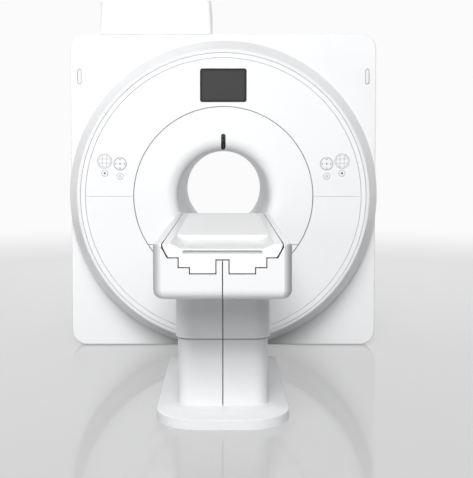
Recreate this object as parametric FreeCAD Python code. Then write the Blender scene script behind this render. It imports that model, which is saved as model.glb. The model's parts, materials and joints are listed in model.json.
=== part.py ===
import FreeCAD, Part
import math
import os

# Magnetic resonance scanner: a round-faced magnet housing with a patient bore, and a lifting couch
# whose stepped patient board runs on rails into that bore.
# Millimetres. X runs across, Y runs from the couch back to the magnet, Z is up.
# The origin is on the floor at the middle of the whole length, under the bore axis.

V = FreeCAD.Vector
BIG = 6000.0

# ---- overall sizes ----
BORE_RADIUS = 300.0
HOUSING_WIDTH = 2098.0
GANTRY_DEPTH = 1650.0
COUCH_REACH = 2018.0
FOOT_GAP = 4.0
RIM_SIDE_GAP = 3.0
RIM_TOP_GAP = 54.0
RIM_RADIUS = HOUSING_WIDTH / 2 - RIM_SIDE_GAP
AXIS_HEIGHT = FOOT_GAP + RIM_RADIUS
HOUSING_TOP = AXIS_HEIGHT + RIM_RADIUS + RIM_TOP_GAP

# ---- bore and magnet ----
LINER_WALL = 6.0
FRONT_MOUTH_RADIUS = 90.0
REAR_MOUTH_RADIUS = 110.0
BODY_COIL_WALL = 24.0
GRADIENT_COIL_WALL = 113.0
VESSEL_SIDE_SPACE = 86.0
VESSEL_RADIUS = RIM_RADIUS - VESSEL_SIDE_SPACE
VESSEL_FRONT_SPACE = 180.0
VESSEL_REAR_SPACE = 150.0
VESSEL_EDGE = 40.0
VESSEL_WALL = 12.0
VESSEL_END = 20.0
VESSEL_BORE_WALL = 8.0
FORMER_SPACE = 76.1
FORMER_WALL = 20.0
FORMER_END_SPACE = 95.0
COIL_DEPTH = 85.0
MAIN_COIL_SHARES = ((0.067, 0.054), (0.205, 0.072), (0.402, 0.143))
NEST_GAP = 0.3

# ---- housing ----
HOUSING_CORNER = 100.0
HOUSING_EDGE = 10.0
COVER_WALL = 8.0
SEAM = 3.0
PAN_DEPTH = 60.0
HOOP_DEPTH = 100.0
HOOP_WIDTH = 40.0
HOOP_PAD = 40.0
PANEL_HOLE_LAP = 46.0
PANEL_HOLE_RADIUS = RIM_RADIUS - PANEL_HOLE_LAP
REAR_HOLE_RADIUS = BORE_RADIUS + 220.0
REAR_BELL_RADIUS = REAR_HOLE_RADIUS + 40.0
REAR_BELL_PROUD = 10.0

# ---- round front ----
DISC_REACH = 285.0
DISC_WALL = 8.0
EDGE_BREAK = 1.5
RIM_BEVEL_WIDTH = 82.0
RIM_FLAT_WIDTH = 23.0
TRIM_WIDTH = 33.0
FRONT_COVER_WIDTH = 318.0
TRIM_SEAM = 2.0
RIM_FRONT_RADIUS = RIM_RADIUS - RIM_BEVEL_WIDTH
TRIM_RADIUS = RIM_FRONT_RADIUS - RIM_FLAT_WIDTH
FRONT_COVER_RADIUS = TRIM_RADIUS - TRIM_WIDTH
BELL_COVER_RADIUS = FRONT_COVER_RADIUS - FRONT_COVER_WIDTH
RIM_BEVEL_DEPTH = 205.0
RIM_ROUNDING = 9.0
BELL_SPLIT_DROP = BORE_RADIUS + 19.0
BACK_PLATE_INNER_RADIUS = BORE_RADIUS + 130.0
BACK_PLATE_OUTER_RADIUS = TRIM_RADIUS - 11.0
BACK_PLATE_THICKNESS = 22.0
POST_COUNT = 8
POST_CIRCLE_RADIUS = BACK_PLATE_OUTER_RADIUS - 80.0
POST_RADIUS = 22.0

# ---- display, light slot and latches ----
DISPLAY_HEIGHT = 0.692 * FRONT_COVER_WIDTH
DISPLAY_WIDTH = 1.39 * DISPLAY_HEIGHT
DISPLAY_CORNER = 16.0
DISPLAY_LIFT = 28.5
DISPLAY_RISE = BELL_COVER_RADIUS + DISPLAY_LIFT + DISPLAY_HEIGHT / 2
DISPLAY_FRAME = 7.0
DISPLAY_CASE_DEPTH = 52.0
SLOT_LENGTH = 105.0
SLOT_WIDTH = 30.0
SLOT_RISE = BORE_RADIUS + 59.0
LATCH_X = HOUSING_WIDTH / 2 - 61.0
LATCH_Z = HOUSING_TOP - 291.0
LATCH_WIDTH = 24.0
LATCH_LENGTH = 103.0
LATCH_GAP = 2.5

# ---- control clusters, one each side of the bore ----
KEYPAD_X = FRONT_COVER_RADIUS - 127.0
KEYPAD_RISE = 232.0
KEYPAD_RADIUS = 47.0
RING_X = FRONT_COVER_RADIUS - 229.0
RING_RISE = 214.0
RING_RADIUS = 41.0
CENTRE_KEY_RADIUS = 12.0
START_X = FRONT_COVER_RADIUS - 128.0
START_RISE = 152.0
LEVEL_X = FRONT_COVER_RADIUS - 228.0
LEVEL_RISE = 132.0
BUTTON_RADIUS = 19.5
BEZEL_WIDTH = 2.5
KEY_GAP = 0.4
KEY_PROUD = 2.5
KEY_BODY = 5.5
KEY_TRAVEL = 1.5
STEM_RADIUS = 4.0
STEM_LENGTH = 16.0

# ---- turret over the cold head ----
TURRET_INSET = 207.0
TURRET_WIDTH = 758.0
TURRET_LEFT = TURRET_INSET - HOUSING_WIDTH / 2
TURRET_RIGHT = TURRET_LEFT + TURRET_WIDTH
TURRET_HEIGHT = 228.0
TURRET_DEPTH = 830.0
TURRET_WALL = 6.0
TURRET_FOOT_CORNER = 12.0
TURRET_TOP_CORNER = 40.0
NECK_RADIUS = 170.0
NECK_TOP_RISE = 60.0
COLD_HEAD_RADIUS = 70.0
COLD_HEAD_HEIGHT = 190.0
COLD_MOTOR_HALF_WIDTH = 60.0
COLD_MOTOR_FRONT = 45.0
COLD_MOTOR_REAR = 75.0

# ---- magnet feet ----
FOOT_X = VESSEL_RADIUS - 400.0
FOOT_INSET = 260.0
FOOT_WIDTH = 260.0
FOOT_PLATE = 25.0
FOOT_WEB = 90.0
ANCHOR_X = FOOT_X + 85.0
ANCHOR_RADIUS = 11.0

# ---- couch ----
COUCH_DOCK_GAP = 12.0
COUCH_DROP = BORE_RADIUS - 190.0
COUCH_HEIGHT = 248.0
COUCH_MARGIN = 38.0
COUCH_WALL = 6.0
COUCH_BEVEL = 35.0
COUCH_BEVEL_DEPTH = 30.0
COUCH_TOP_ROUNDING = 12.0
COUCH_LOW_ROUNDING = 45.0
FRONT_COVER_LENGTH = 160.0
END_WALL = 6.0
BELLY_HALF_WIDTH = 255.0
BELLY_SEAM = 0.5
RUN_GAP = 3.0
CHANNEL_WALL = 5.0

# ---- stepped patient board ----
BORE_CLEARANCE = 8.0
SHOULDER_DROP = 15.0
LEDGE_DROP = 59.0
UPPER_STEP_DROP = 102.0
KEEL_DROP = 129.0
UPPER_STEP_INSET = 9.0
LOWER_STEP_INSET = 25.0
KEEL_SLOT_HALF = 30.0
KEEL_SLOT_HEIGHT = 61.0
TROUGH_HALF_WIDTH = BORE_RADIUS - 120.0
TROUGH_TOP_HALF_WIDTH = TROUGH_HALF_WIDTH + 46.0
TROUGH_DEPTH = 22.0
END_CAP_LENGTH = 45.0
CAP_GAP = 0.3
CAP_ROUNDING = 10.0
GRIP_HALF_WIDTH = TROUGH_HALF_WIDTH - 6.0
GRIP_DROP = 28.0
GRIP_HEIGHT = 15.0
GRIP_DEPTH = 14.0
MATTRESS_SETBACK = 417.0
MATTRESS_CROWN = 5.0
MATTRESS_EDGE_DROP = 3.0
MATTRESS_GAP = 0.3
MATTRESS_SIDE_GAP = 8.0
CRADLE_TRAVEL = 1600.0

# ---- runners, rails and board drive ----
RUNNER_INNER = 80.0
RUNNER_OUTER = 130.0
RUNNER_GAP = 0.4
RAIL_INNER = 70.0
RAIL_OUTER = 138.0
RAIL_FLOOR_DROP = 21.0
PULLEY_RADIUS = 20.0
PULLEY_WIDTH = 24.0
PULLEY_FLANGE = 3.0
PULLEY_FLANGE_RADIUS = 25.0
PULLEY_DROP = 158.0
SHAFT_RADIUS = 8.0
RUNNING_FIT = 0.05
BELT_WIDTH = 22.0
BELT_THICKNESS = 3.0
BELT_GAP = 0.3
DRIVE_SETBACK = 140.0
IDLER_SETBACK = 75.0
CLAMP_SETBACK = 200.0
CLAMP_LENGTH = 60.0
CLAMP_HALF_WIDTH = 7.0
CLAMP_SLOT_HALF = 10.0
MOTOR_RADIUS = 38.0
MOTOR_LENGTH = 200.0
GEARBOX_LENGTH = 70.0

# ---- lifting pedestal ----
LOWERED_GAP = 28.0
COLUMN_SETBACK = 576.0
COLUMN_LENGTH = 900.0
COLUMN_HALF_WIDTH = 229.0
COLUMN_CORNER = 75.0
COLUMN_WALL = 5.0
COLUMN_DROP = 252.0
SLEEVE_GAP = 6.0
SLEEVE_LAP = 36.0
CENTRE_SEAM = 3.0
MAST_HALF_WIDTH = 150.0
MAST_HALF_LENGTH = 250.0
MAST_WALL = 12.0
MAST_DROP = 10.0
PAD_THICKNESS = 8.0
PAD_GAP = 0.3
PAD_HEIGHT = 28.0
CARRIAGE_WALL = 10.0
CARRIAGE_FLANGE = 8.0
CARRIAGE_RISE = 53.0
BEAM_INNER = 100.0
BEAM_OUTER = 140.0
ACTUATOR_RADIUS = 38.0
ACTUATOR_MOTOR_HEIGHT = 180.0
ROD_RADIUS = 20.0

# ---- pedestal base ----
BASE_SETBACK = 385.0
BASE_LENGTH = 1376.0
BASE_HALF_WIDTH = 335.0
BASE_FRONT_CORNER = 225.0
BASE_REAR_CORNER = 70.0
BASE_RIM = 50.0
BASE_TOP = 66.0
BASE_DOME_INSET = 95.0
BASE_EDGE = 4.0
BASE_WALL = 6.0
BASE_FRAME_THICKNESS = 25.0
BASE_FRAME_INSET = 30.0
BASE_LEDGE_HALF = 300.0
BASE_ANCHOR_X = 260.0
BASE_ANCHOR_Y = 400.0
BASE_ANCHOR_RADIUS = 9.0
DOCK_HALF_WIDTH = 80.0
DOCK_LOW = 160.0
DOCK_HIGH = 240.0
DOCK_GAP = 5.0

# ---- stations and heights that follow from the sizes above ----
LENGTH = COUCH_REACH + GANTRY_DEPTH
COUCH_FRONT = -LENGTH / 2
DISC_FRONT = COUCH_FRONT + COUCH_REACH
DISC_BACK = DISC_FRONT + DISC_WALL
GANTRY_REAR = LENGTH / 2
HOUSING_FRONT = DISC_FRONT + DISC_REACH
HOUSING_REAR = GANTRY_REAR - REAR_BELL_PROUD
LINER_FRONT = DISC_FRONT + FRONT_MOUTH_RADIUS + 20.0
LINER_REAR = GANTRY_REAR - REAR_MOUTH_RADIUS - 15.0
VESSEL_FRONT = DISC_FRONT + VESSEL_FRONT_SPACE
VESSEL_REAR = HOUSING_REAR - VESSEL_REAR_SPACE
MAGNET_MIDDLE = (VESSEL_FRONT + VESSEL_REAR) / 2
FORMER_LENGTH = VESSEL_REAR - VESSEL_FRONT - 2 * FORMER_END_SPACE
BODY_COIL_INNER = BORE_RADIUS + LINER_WALL + NEST_GAP
GRADIENT_INNER = BODY_COIL_INNER + BODY_COIL_WALL + NEST_GAP
VESSEL_INNER = GRADIENT_INNER + GRADIENT_COIL_WALL + NEST_GAP
FORMER_RADIUS = VESSEL_INNER + FORMER_SPACE
COUCH_REAR = DISC_FRONT - COUCH_DOCK_GAP
COUCH_TOP = AXIS_HEIGHT - COUCH_DROP
COUCH_BOTTOM = COUCH_TOP - COUCH_HEIGHT
KEEL_Z = COUCH_TOP - KEEL_DROP
PULLEY_Z = COUCH_TOP - PULLEY_DROP
CHANNEL_FLOOR = KEEL_Z - RUN_GAP
TURRET_TOP = HOUSING_TOP + TURRET_HEIGHT
COLUMN_FRONT = COUCH_FRONT + COLUMN_SETBACK
COLUMN_REAR = COLUMN_FRONT + COLUMN_LENGTH
COLUMN_MIDDLE = (COLUMN_FRONT + COLUMN_REAR) / 2
BASE_FRONT = COUCH_FRONT + BASE_SETBACK
BASE_REAR = BASE_FRONT + BASE_LENGTH
ROD_FOOT = BASE_FRAME_THICKNESS + 20.0
COLUMN_TOP = COUCH_BOTTOM - COLUMN_DROP
MAST_TOP = COLUMN_TOP - MAST_DROP
CARRIAGE_FLANGE_Z = COUCH_BOTTOM + CARRIAGE_RISE
SLEEVE_BOTTOM = COLUMN_TOP - SLEEVE_LAP
LIFT_TRAVEL = SLEEVE_BOTTOM - BASE_TOP - LOWERED_GAP
DRIVE_Y = COUCH_FRONT + DRIVE_SETBACK
IDLER_Y = COUCH_REAR - IDLER_SETBACK
LEFT = -1
RIGHT = 1
SIDES = {"left": LEFT, "right": RIGHT}


# ---- drawing helpers ----
def box(x, y, z):
    """Block between the (low, high) pairs x, y and z."""
    return Part.makeBox(x[1] - x[0], y[1] - y[0], z[1] - z[0], V(x[0], y[0], z[0]))


def keep(shape, x=(-BIG, BIG), y=(-BIG, BIG), z=(-BIG, BIG)):
    """What of a shape lies inside the given limits."""
    return shape.common(box(x, y, z))


def rod_y(radius, y0, y1, x=0.0, z=AXIS_HEIGHT):
    """Cylinder along Y, on the bore axis unless x and z say otherwise."""
    return Part.makeCylinder(radius, y1 - y0, V(x, y0, z), V(0, 1, 0))


def tube_y(outer, inner, y0, y1, x=0.0, z=AXIS_HEIGHT):
    """Tube along Y."""
    return rod_y(outer, y0, y1, x, z).cut(rod_y(inner, y0, y1, x, z))


def rod_x(radius, x0, x1, y, z):
    """Cylinder along X."""
    return Part.makeCylinder(radius, x1 - x0, V(x0, y, z), V(1, 0, 0))


def rod_z(radius, z0, z1, x, y):
    """Upright cylinder."""
    return Part.makeCylinder(radius, z1 - z0, V(x, y, z0), V(0, 0, 1))


def outline(corners, place):
    """Closed wire through corners (u, v) or (u, v, rounding); place turns u, v into a point."""
    points = [V(corner[0], corner[1], 0) for corner in corners]
    roundings = [corner[2] if len(corner) > 2 else 0.0 for corner in corners]
    bends = []
    for i, here in enumerate(points):
        if roundings[i] <= 0:
            bends.append((here, None, here))
            continue
        back = (points[i - 1] - here).normalize()
        ahead = (points[(i + 1) % len(points)] - here).normalize()
        half_angle = back.getAngle(ahead) / 2
        run = roundings[i] / math.tan(half_angle)
        depth = roundings[i] / math.sin(half_angle) - roundings[i]
        inward = (back + ahead).normalize()
        bends.append((here + back * run, here + inward * depth, here + ahead * run))
    edges = []
    for i, (start, middle, end) in enumerate(bends):
        if middle is not None:
            edges.append(Part.Arc(*(place(p.x, p.y) for p in (start, middle, end))).toShape())
        following = bends[(i + 1) % len(bends)][0]
        if (following - end).Length > 1e-6:
            edges.append(Part.LineSegment(place(end.x, end.y), place(following.x, following.y)).toShape())
    return Part.Wire(edges)


def along_y(corners, y0, y1):
    """Solid with a front-view (x, z) outline, from y0 to y1."""
    return Part.Face(outline(corners, lambda x, z: V(x, y0, z))).extrude(V(0, y1 - y0, 0))


def along_z(corners, z0, z1):
    """Solid with a plan (x, y) outline, from z0 to z1."""
    return Part.Face(outline(corners, lambda x, y: V(x, y, z0))).extrude(V(0, 0, z1 - z0))


def turned(corners):
    """Ring turned about the bore axis from a (radius, y) outline."""
    section = Part.Face(outline(corners, lambda r, y: V(r, y, AXIS_HEIGHT)))
    return section.revolve(V(0, 0, AXIS_HEIGHT), V(0, 1, 0), 360)


def rectangle(x, z, rounding=0.0):
    """Corners of an upright rectangle between the (low, high) pairs x and z."""
    return [(u, v, rounding) for u, v in ((x[0], z[0]), (x[1], z[0]), (x[1], z[1]), (x[0], z[1]))]


def centred(x, z, width, height, rounding=0.0):
    """Corners of a rectangle round a centre."""
    return rectangle((x - width / 2, x + width / 2), (z - height / 2, z + height / 2), rounding)


def symmetric(half):
    """Whole outline from its right half, listed from one end of the centre line to the other."""
    return half + [(-corner[0],) + tuple(corner[1:]) for corner in reversed(half)]


def edges_on(shape, axis, level, also=lambda edge: True):
    """Edges that lie wholly in the plane axis = level and pass a further test."""
    def on_plane(edge):
        return all(abs(getattr(vertex.Point, axis) - level) < 0.01 for vertex in edge.Vertexes)
    return [edge for edge in shape.Edges if on_plane(edge) and also(edge)]


def fused(pieces):
    """One solid from pieces that meet."""
    return pieces[0].multiFuse(pieces[1:]).removeSplitter()


def outer_part(shape, side, edge):
    """Part of a shape that lies further out than edge on one side."""
    return keep(shape, x=(-BIG, -edge)) if side < 0 else keep(shape, x=(edge, BIG))


def both_sides(piece, *rest):
    """Compound of a piece made for the left and for the right."""
    return Part.makeCompound([piece(*rest, side) for side in (LEFT, RIGHT)])


# ---- magnet and bore ----
def magnet_vessel():
    """Vacuum vessel: the outer drum with both end plates, and the bore tube that closes it."""
    bore = VESSEL_INNER + VESSEL_BORE_WALL + NEST_GAP
    hollow = VESSEL_RADIUS - VESSEL_WALL
    front = VESSEL_FRONT + VESSEL_END
    rear = VESSEL_REAR - VESSEL_END
    edge = VESSEL_EDGE - VESSEL_WALL
    drum = turned([(bore, VESSEL_FRONT), (VESSEL_RADIUS, VESSEL_FRONT, VESSEL_EDGE),
                   (VESSEL_RADIUS, VESSEL_REAR, VESSEL_EDGE), (bore, VESSEL_REAR),
                   (bore, rear), (hollow, rear, edge), (hollow, front, edge), (bore, front)])
    return Part.makeCompound([drum, tube_y(bore - NEST_GAP, VESSEL_INNER, VESSEL_FRONT, VESSEL_REAR)])


def coil_rings(inner, outer, slack):
    """Ring spaces of the six main coils, placed evenly about the magnet's middle."""
    rings = []
    for offset, width in MAIN_COIL_SHARES:
        half = FORMER_LENGTH * width / 2 - slack
        for sign in (-1, 1):
            middle = MAGNET_MIDDLE + sign * FORMER_LENGTH * offset
            rings.append(tube_y(outer, inner, middle - half, middle + half))
    return rings


def coil_former():
    """Grooved aluminium former of the main coils, held off the end plates by posts."""
    rim = FORMER_RADIUS + FORMER_WALL + COIL_DEPTH
    start = MAGNET_MIDDLE - FORMER_LENGTH / 2
    end = MAGNET_MIDDLE + FORMER_LENGTH / 2
    former = tube_y(rim, FORMER_RADIUS, start, end).cut(coil_rings(FORMER_RADIUS + FORMER_WALL, BIG, 0.0))
    posts = []
    for i in range(POST_COUNT):
        angle = 2 * math.pi * i / POST_COUNT
        x = (FORMER_RADIUS + rim) / 2 * math.cos(angle)
        z = AXIS_HEIGHT + (FORMER_RADIUS + rim) / 2 * math.sin(angle)
        posts.append(rod_y(POST_RADIUS, VESSEL_FRONT + VESSEL_END, start + 1, x, z))
        posts.append(rod_y(POST_RADIUS, end - 1, VESSEL_REAR - VESSEL_END, x, z))
    return fused([former] + posts)


def main_coils():
    """Superconducting windings in the former's grooves."""
    inner = FORMER_RADIUS + FORMER_WALL
    return Part.makeCompound(coil_rings(inner + NEST_GAP, inner + COIL_DEPTH, NEST_GAP))


def gradient_coil():
    """Thick resin-cast coil tube inside the vessel's bore."""
    outer = GRADIENT_INNER + GRADIENT_COIL_WALL
    return tube_y(outer, GRADIENT_INNER, VESSEL_FRONT + 20, VESSEL_REAR - 20)


def body_coil():
    """Radio-frequency coil former between the gradient coil and the liner."""
    outer = BODY_COIL_INNER + BODY_COIL_WALL
    return tube_y(outer, BODY_COIL_INNER, VESSEL_FRONT - 30, VESSEL_REAR + 10)


def bore_liner():
    """Smooth tube that the patient sees, between the two mouths."""
    return tube_y(BORE_RADIUS + LINER_WALL, BORE_RADIUS, LINER_FRONT + NEST_GAP, LINER_REAR - NEST_GAP)


def bore_rails():
    """Twin rails on the floor of the bore, level with the couch's runners."""
    top = KEEL_Z - RUNNER_GAP
    floor = KEEL_Z - RAIL_FLOOR_DROP
    low = AXIS_HEIGHT - BORE_RADIUS
    section = symmetric([(RAIL_INNER, floor), (RAIL_INNER, top, 2.0),
                         (RAIL_OUTER, top, 4.0), (RAIL_OUTER, low)])
    front = DISC_FRONT + FRONT_MOUTH_RADIUS
    rear = GANTRY_REAR - REAR_MOUTH_RADIUS
    return along_y(section, front, rear).common(rod_y(BORE_RADIUS - NEST_GAP, front, rear))


def magnet_feet():
    """Four floor feet: an anchored plate and a web that cradles the vessel."""
    feet = []
    for sign in (-1, 1):
        for y in (HOUSING_FRONT + FOOT_INSET, HOUSING_REAR - FOOT_INSET):
            half = FOOT_WIDTH / 2
            x_limits = sorted((sign * (FOOT_X - half), sign * (FOOT_X + half)))
            web_limits = sorted((sign * (FOOT_X - half), sign * (ANCHOR_X - 2.5 * ANCHOR_RADIUS)))
            plate = box(x_limits, (y - half, y + half), (0, FOOT_PLATE))
            web = box(web_limits, (y - FOOT_WEB / 2, y + FOOT_WEB / 2), (0, AXIS_HEIGHT - VESSEL_INNER))
            hole = rod_z(ANCHOR_RADIUS, 0, FOOT_PLATE, sign * ANCHOR_X, y)
            vessel_space = rod_y(VESSEL_RADIUS + NEST_GAP, VESSEL_FRONT, VESSEL_REAR)
            feet.append(fused([plate, web]).cut(vessel_space).cut(hole))
    return Part.makeCompound(feet)


def cold_head():
    """Refrigerator head on its flanged neck, from the vessel up into the turret."""
    x = (TURRET_LEFT + TURRET_RIGHT) / 2
    y = HOUSING_FRONT + TURRET_DEPTH / 2
    foot = HOUSING_TOP + NECK_TOP_RISE
    barrel_top = foot + COLD_HEAD_HEIGHT * 0.6
    neck = rod_z(NECK_RADIUS, AXIS_HEIGHT, foot, x, y)
    neck = neck.cut(rod_y(VESSEL_RADIUS + NEST_GAP, VESSEL_FRONT, VESSEL_REAR))
    flange = rod_z(NECK_RADIUS + 25, foot - 20, foot, x, y)
    base = rod_z(COLD_HEAD_RADIUS + 30, foot - 1, foot + 20, x, y)
    barrel = rod_z(COLD_HEAD_RADIUS, foot, barrel_top, x, y)
    motor_levels = (barrel_top - 20, foot + COLD_HEAD_HEIGHT * 0.75)
    motor = box((x - COLD_MOTOR_HALF_WIDTH, x + COLD_MOTOR_HALF_WIDTH),
                (y - COLD_MOTOR_FRONT, y + COLD_MOTOR_REAR), motor_levels)
    return fused([neck, flange, base, barrel, motor])


# ---- housing ----
def housing_corners(inset=0.0):
    """Front view of the housing, drawn in by inset all round."""
    half = HOUSING_WIDTH / 2 - inset
    return rectangle((-half, half), (FOOT_GAP + inset, HOUSING_TOP - inset), HOUSING_CORNER - inset)


def housing_pan(face, back, hole_radius):
    """Shallow pan with a rounded rim, open to the back, with one round hole."""
    low, high = sorted((face, back))
    shell = along_y(housing_corners(), low, high)
    shell = shell.makeFillet(HOUSING_EDGE, edges_on(shell, "y", face))
    inside = face + math.copysign(COVER_WALL, back - face)
    low, high = sorted((inside, back))
    return shell.cut(along_y(housing_corners(COVER_WALL), low, high)).cut(rod_y(hole_radius, -BIG, BIG))


def front_panel():
    """Front of the housing, which the round cover set stands on."""
    panel = housing_pan(HOUSING_FRONT, HOUSING_FRONT + PAN_DEPTH, PANEL_HOLE_RADIUS)
    for sign in SIDES.values():
        pocket = centred(sign * LATCH_X, LATCH_Z, LATCH_WIDTH, LATCH_LENGTH, LATCH_WIDTH * 0.49)
        panel = panel.cut(along_y(pocket, HOUSING_FRONT, HOUSING_FRONT + COVER_WALL / 2))
    return panel


def cover_latches():
    """Pill-shaped release latches let into the front panel near its top corners."""
    latches = []
    for sign in SIDES.values():
        plan = centred(sign * LATCH_X, LATCH_Z, LATCH_WIDTH - 2 * LATCH_GAP, LATCH_LENGTH - 2 * LATCH_GAP,
                       (LATCH_WIDTH - 2 * LATCH_GAP) * 0.49)
        latches.append(along_y(plan, HOUSING_FRONT, HOUSING_FRONT + COVER_WALL / 2))
    return Part.makeCompound(latches)


def rear_cover():
    """Back of the housing."""
    return housing_pan(HOUSING_REAR, HOUSING_REAR - PAN_DEPTH, REAR_HOLE_RADIUS)


def housing_shell():
    """The four walls between the front and rear pans."""
    limits = (HOUSING_FRONT + PAN_DEPTH + SEAM, HOUSING_REAR - PAN_DEPTH - SEAM)
    return along_y(housing_corners(), *limits).cut(along_y(housing_corners(COVER_WALL), *limits))


def side_cover(side):
    """Side wall with its two rounded corners."""
    return outer_part(housing_shell(), side, HOUSING_WIDTH / 2 - HOUSING_CORNER)


def top_cover():
    """Roof panel, open under the turret."""
    edge = HOUSING_WIDTH / 2 - HOUSING_CORNER - SEAM
    roof = keep(housing_shell(), x=(-edge, edge), z=(AXIS_HEIGHT, BIG))
    inset = 4 * TURRET_WALL
    front = HOUSING_FRONT + PAN_DEPTH + HOOP_DEPTH
    opening = box((TURRET_LEFT + inset, TURRET_RIGHT - inset), (front, HOUSING_FRONT + TURRET_DEPTH - inset),
                  (AXIS_HEIGHT, BIG))
    return roof.cut(opening)


def housing_hoop(start, pad_start):
    """Aluminium hoop inside the covers, standing on two pads and tied to the vessel at axis height."""
    end = start + HOOP_DEPTH
    ring = along_y(housing_corners(COVER_WALL), start, end)
    ring = ring.cut(along_y(housing_corners(COVER_WALL + HOOP_WIDTH), start, end))
    pieces = [ring]
    half = HOUSING_WIDTH / 2 - COVER_WALL - HOOP_WIDTH
    for sign in SIDES.values():
        pad_x = sign * HOUSING_WIDTH * 0.3
        pad_y = (pad_start, pad_start + HOOP_PAD)
        pieces.append(box((pad_x - HOOP_PAD, pad_x + HOOP_PAD), pad_y, (0, FOOT_GAP + COVER_WALL + 1)))
        tie = sorted((sign * (VESSEL_RADIUS + NEST_GAP), sign * (half + 1)))
        pieces.append(box(tie, (start + 30, end - 30), (AXIS_HEIGHT - 20, AXIS_HEIGHT + 20)))
    return fused(pieces)


def housing_hoops():
    """Front and rear hoop, their pads just clear of the pans' lower rims."""
    front = HOUSING_FRONT + COVER_WALL
    rear = HOUSING_REAR - COVER_WALL - HOOP_DEPTH
    return Part.makeCompound([housing_hoop(front, front + HOOP_DEPTH - HOOP_PAD), housing_hoop(rear, rear)])


def turret_section(inset, corner, z):
    """Plan outline of the turret at one height."""
    x = (TURRET_LEFT + inset, TURRET_RIGHT - inset)
    y = (HOUSING_FRONT + inset, HOUSING_FRONT + TURRET_DEPTH - inset)
    return outline(rectangle(x, y, corner), lambda u, v: V(u, v, z))


def turret_cover():
    """Raised cover over the cold head; its corners soften towards the top."""
    outer = Part.makeLoft([turret_section(0, TURRET_FOOT_CORNER, HOUSING_TOP),
                           turret_section(0, TURRET_TOP_CORNER, TURRET_TOP)], True, True)
    inner = Part.makeLoft([turret_section(TURRET_WALL, TURRET_FOOT_CORNER - TURRET_WALL, HOUSING_TOP),
                           turret_section(TURRET_WALL, TURRET_TOP_CORNER - TURRET_WALL,
                                          TURRET_TOP - TURRET_WALL)], True, True)
    return outer.cut(inner)


# ---- round front ----
def rim_ring():
    """Bevelled ring that carries the disc's edge back to the housing."""
    bend = DISC_FRONT + RIM_BEVEL_DEPTH
    lip = TRIM_RADIUS + TRIM_SEAM / 2
    return turned([(lip, DISC_FRONT, 2.0), (RIM_FRONT_RADIUS, DISC_FRONT, RIM_ROUNDING),
                   (RIM_RADIUS, bend, 60.0), (RIM_RADIUS, HOUSING_FRONT),
                   (RIM_RADIUS - DISC_WALL, HOUSING_FRONT), (RIM_RADIUS - DISC_WALL, bend + 2, 52.0),
                   (RIM_FRONT_RADIUS - 5, DISC_BACK, RIM_ROUNDING / 2), (lip, DISC_BACK)])


def flat_ring(inner, outer):
    """Flat ring of the disc's wall thickness, its front edges softened."""
    return turned([(inner, DISC_FRONT + EDGE_BREAK), (inner + EDGE_BREAK, DISC_FRONT),
                   (outer - EDGE_BREAK, DISC_FRONT), (outer, DISC_FRONT + EDGE_BREAK),
                   (outer, DISC_BACK), (inner, DISC_BACK)])


def trim_ring():
    """Narrow ring between the front covers and the bevelled rim."""
    return flat_ring(FRONT_COVER_RADIUS + SEAM / 2, TRIM_RADIUS - TRIM_SEAM / 2)


def control_places():
    """Every control as name: (x, z, radius) on the right-hand side."""
    return {
        "keypad": (KEYPAD_X, AXIS_HEIGHT + KEYPAD_RISE, KEYPAD_RADIUS),
        "ring_key": (RING_X, AXIS_HEIGHT + RING_RISE, RING_RADIUS),
        "start_button": (START_X, AXIS_HEIGHT + START_RISE, BUTTON_RADIUS),
        "level_button": (LEVEL_X, AXIS_HEIGHT + LEVEL_RISE, BUTTON_RADIUS),
    }


def stem_places(name):
    """Stem centres of a moving key, as offsets from the key's own centre."""
    if name == "ring_key":
        radius = (RING_RADIUS + CENTRE_KEY_RADIUS) / 2
        angles = [math.pi * (1 / 2 + 2 / 3 * i) for i in range(3)]
        return [(radius * math.cos(angle), radius * math.sin(angle)) for angle in angles]
    return [(0.0, 0.0)]


def front_cover(upper):
    """Upper or lower half of the flat front, with the openings for what it carries."""
    ring = flat_ring(BELL_COVER_RADIUS + SEAM / 2, FRONT_COVER_RADIUS - SEAM / 2)
    if not upper:
        notch_x = DOCK_HALF_WIDTH + DOCK_GAP
        notch = box((-notch_x, notch_x), (-BIG, BIG), (DOCK_LOW - DOCK_GAP, DOCK_HIGH + DOCK_GAP))
        return keep(ring, z=(-BIG, AXIS_HEIGHT - SEAM / 2)).cut(notch)
    cover = keep(ring, z=(AXIS_HEIGHT + SEAM / 2, BIG))
    window = centred(0, AXIS_HEIGHT + DISPLAY_RISE, DISPLAY_WIDTH, DISPLAY_HEIGHT, DISPLAY_CORNER)
    cover = cover.cut(along_y(window, DISC_FRONT, DISC_BACK))
    holes = []
    for x, z, radius in control_places().values():
        for sign in SIDES.values():
            holes.append(rod_y(radius + BEZEL_WIDTH, DISC_FRONT - 1, DISC_BACK + 1, sign * x, z))
    return cover.cut(holes)


def bell_profile(shift=0.0):
    """Section of the flared front mouth, with its skin moved back by shift."""
    mouth = FRONT_MOUTH_RADIUS
    rim = BELL_COVER_RADIUS - SEAM / 2
    return [(rim, DISC_FRONT + shift + EDGE_BREAK), (rim - EDGE_BREAK, DISC_FRONT + shift),
            (BORE_RADIUS + shift, DISC_FRONT + shift, mouth - shift),
            (BORE_RADIUS + shift, LINER_FRONT), (BORE_RADIUS + DISC_WALL, LINER_FRONT),
            (BORE_RADIUS + DISC_WALL, DISC_BACK, mouth - DISC_WALL),
            (rim, DISC_BACK)]


def slot_corners(gap=0.0):
    """Pill outline of the light slot above the mouth."""
    width = SLOT_WIDTH - 2 * gap
    return centred(0, AXIS_HEIGHT + SLOT_RISE, width, SLOT_LENGTH - 2 * gap, width * 0.49)


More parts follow.
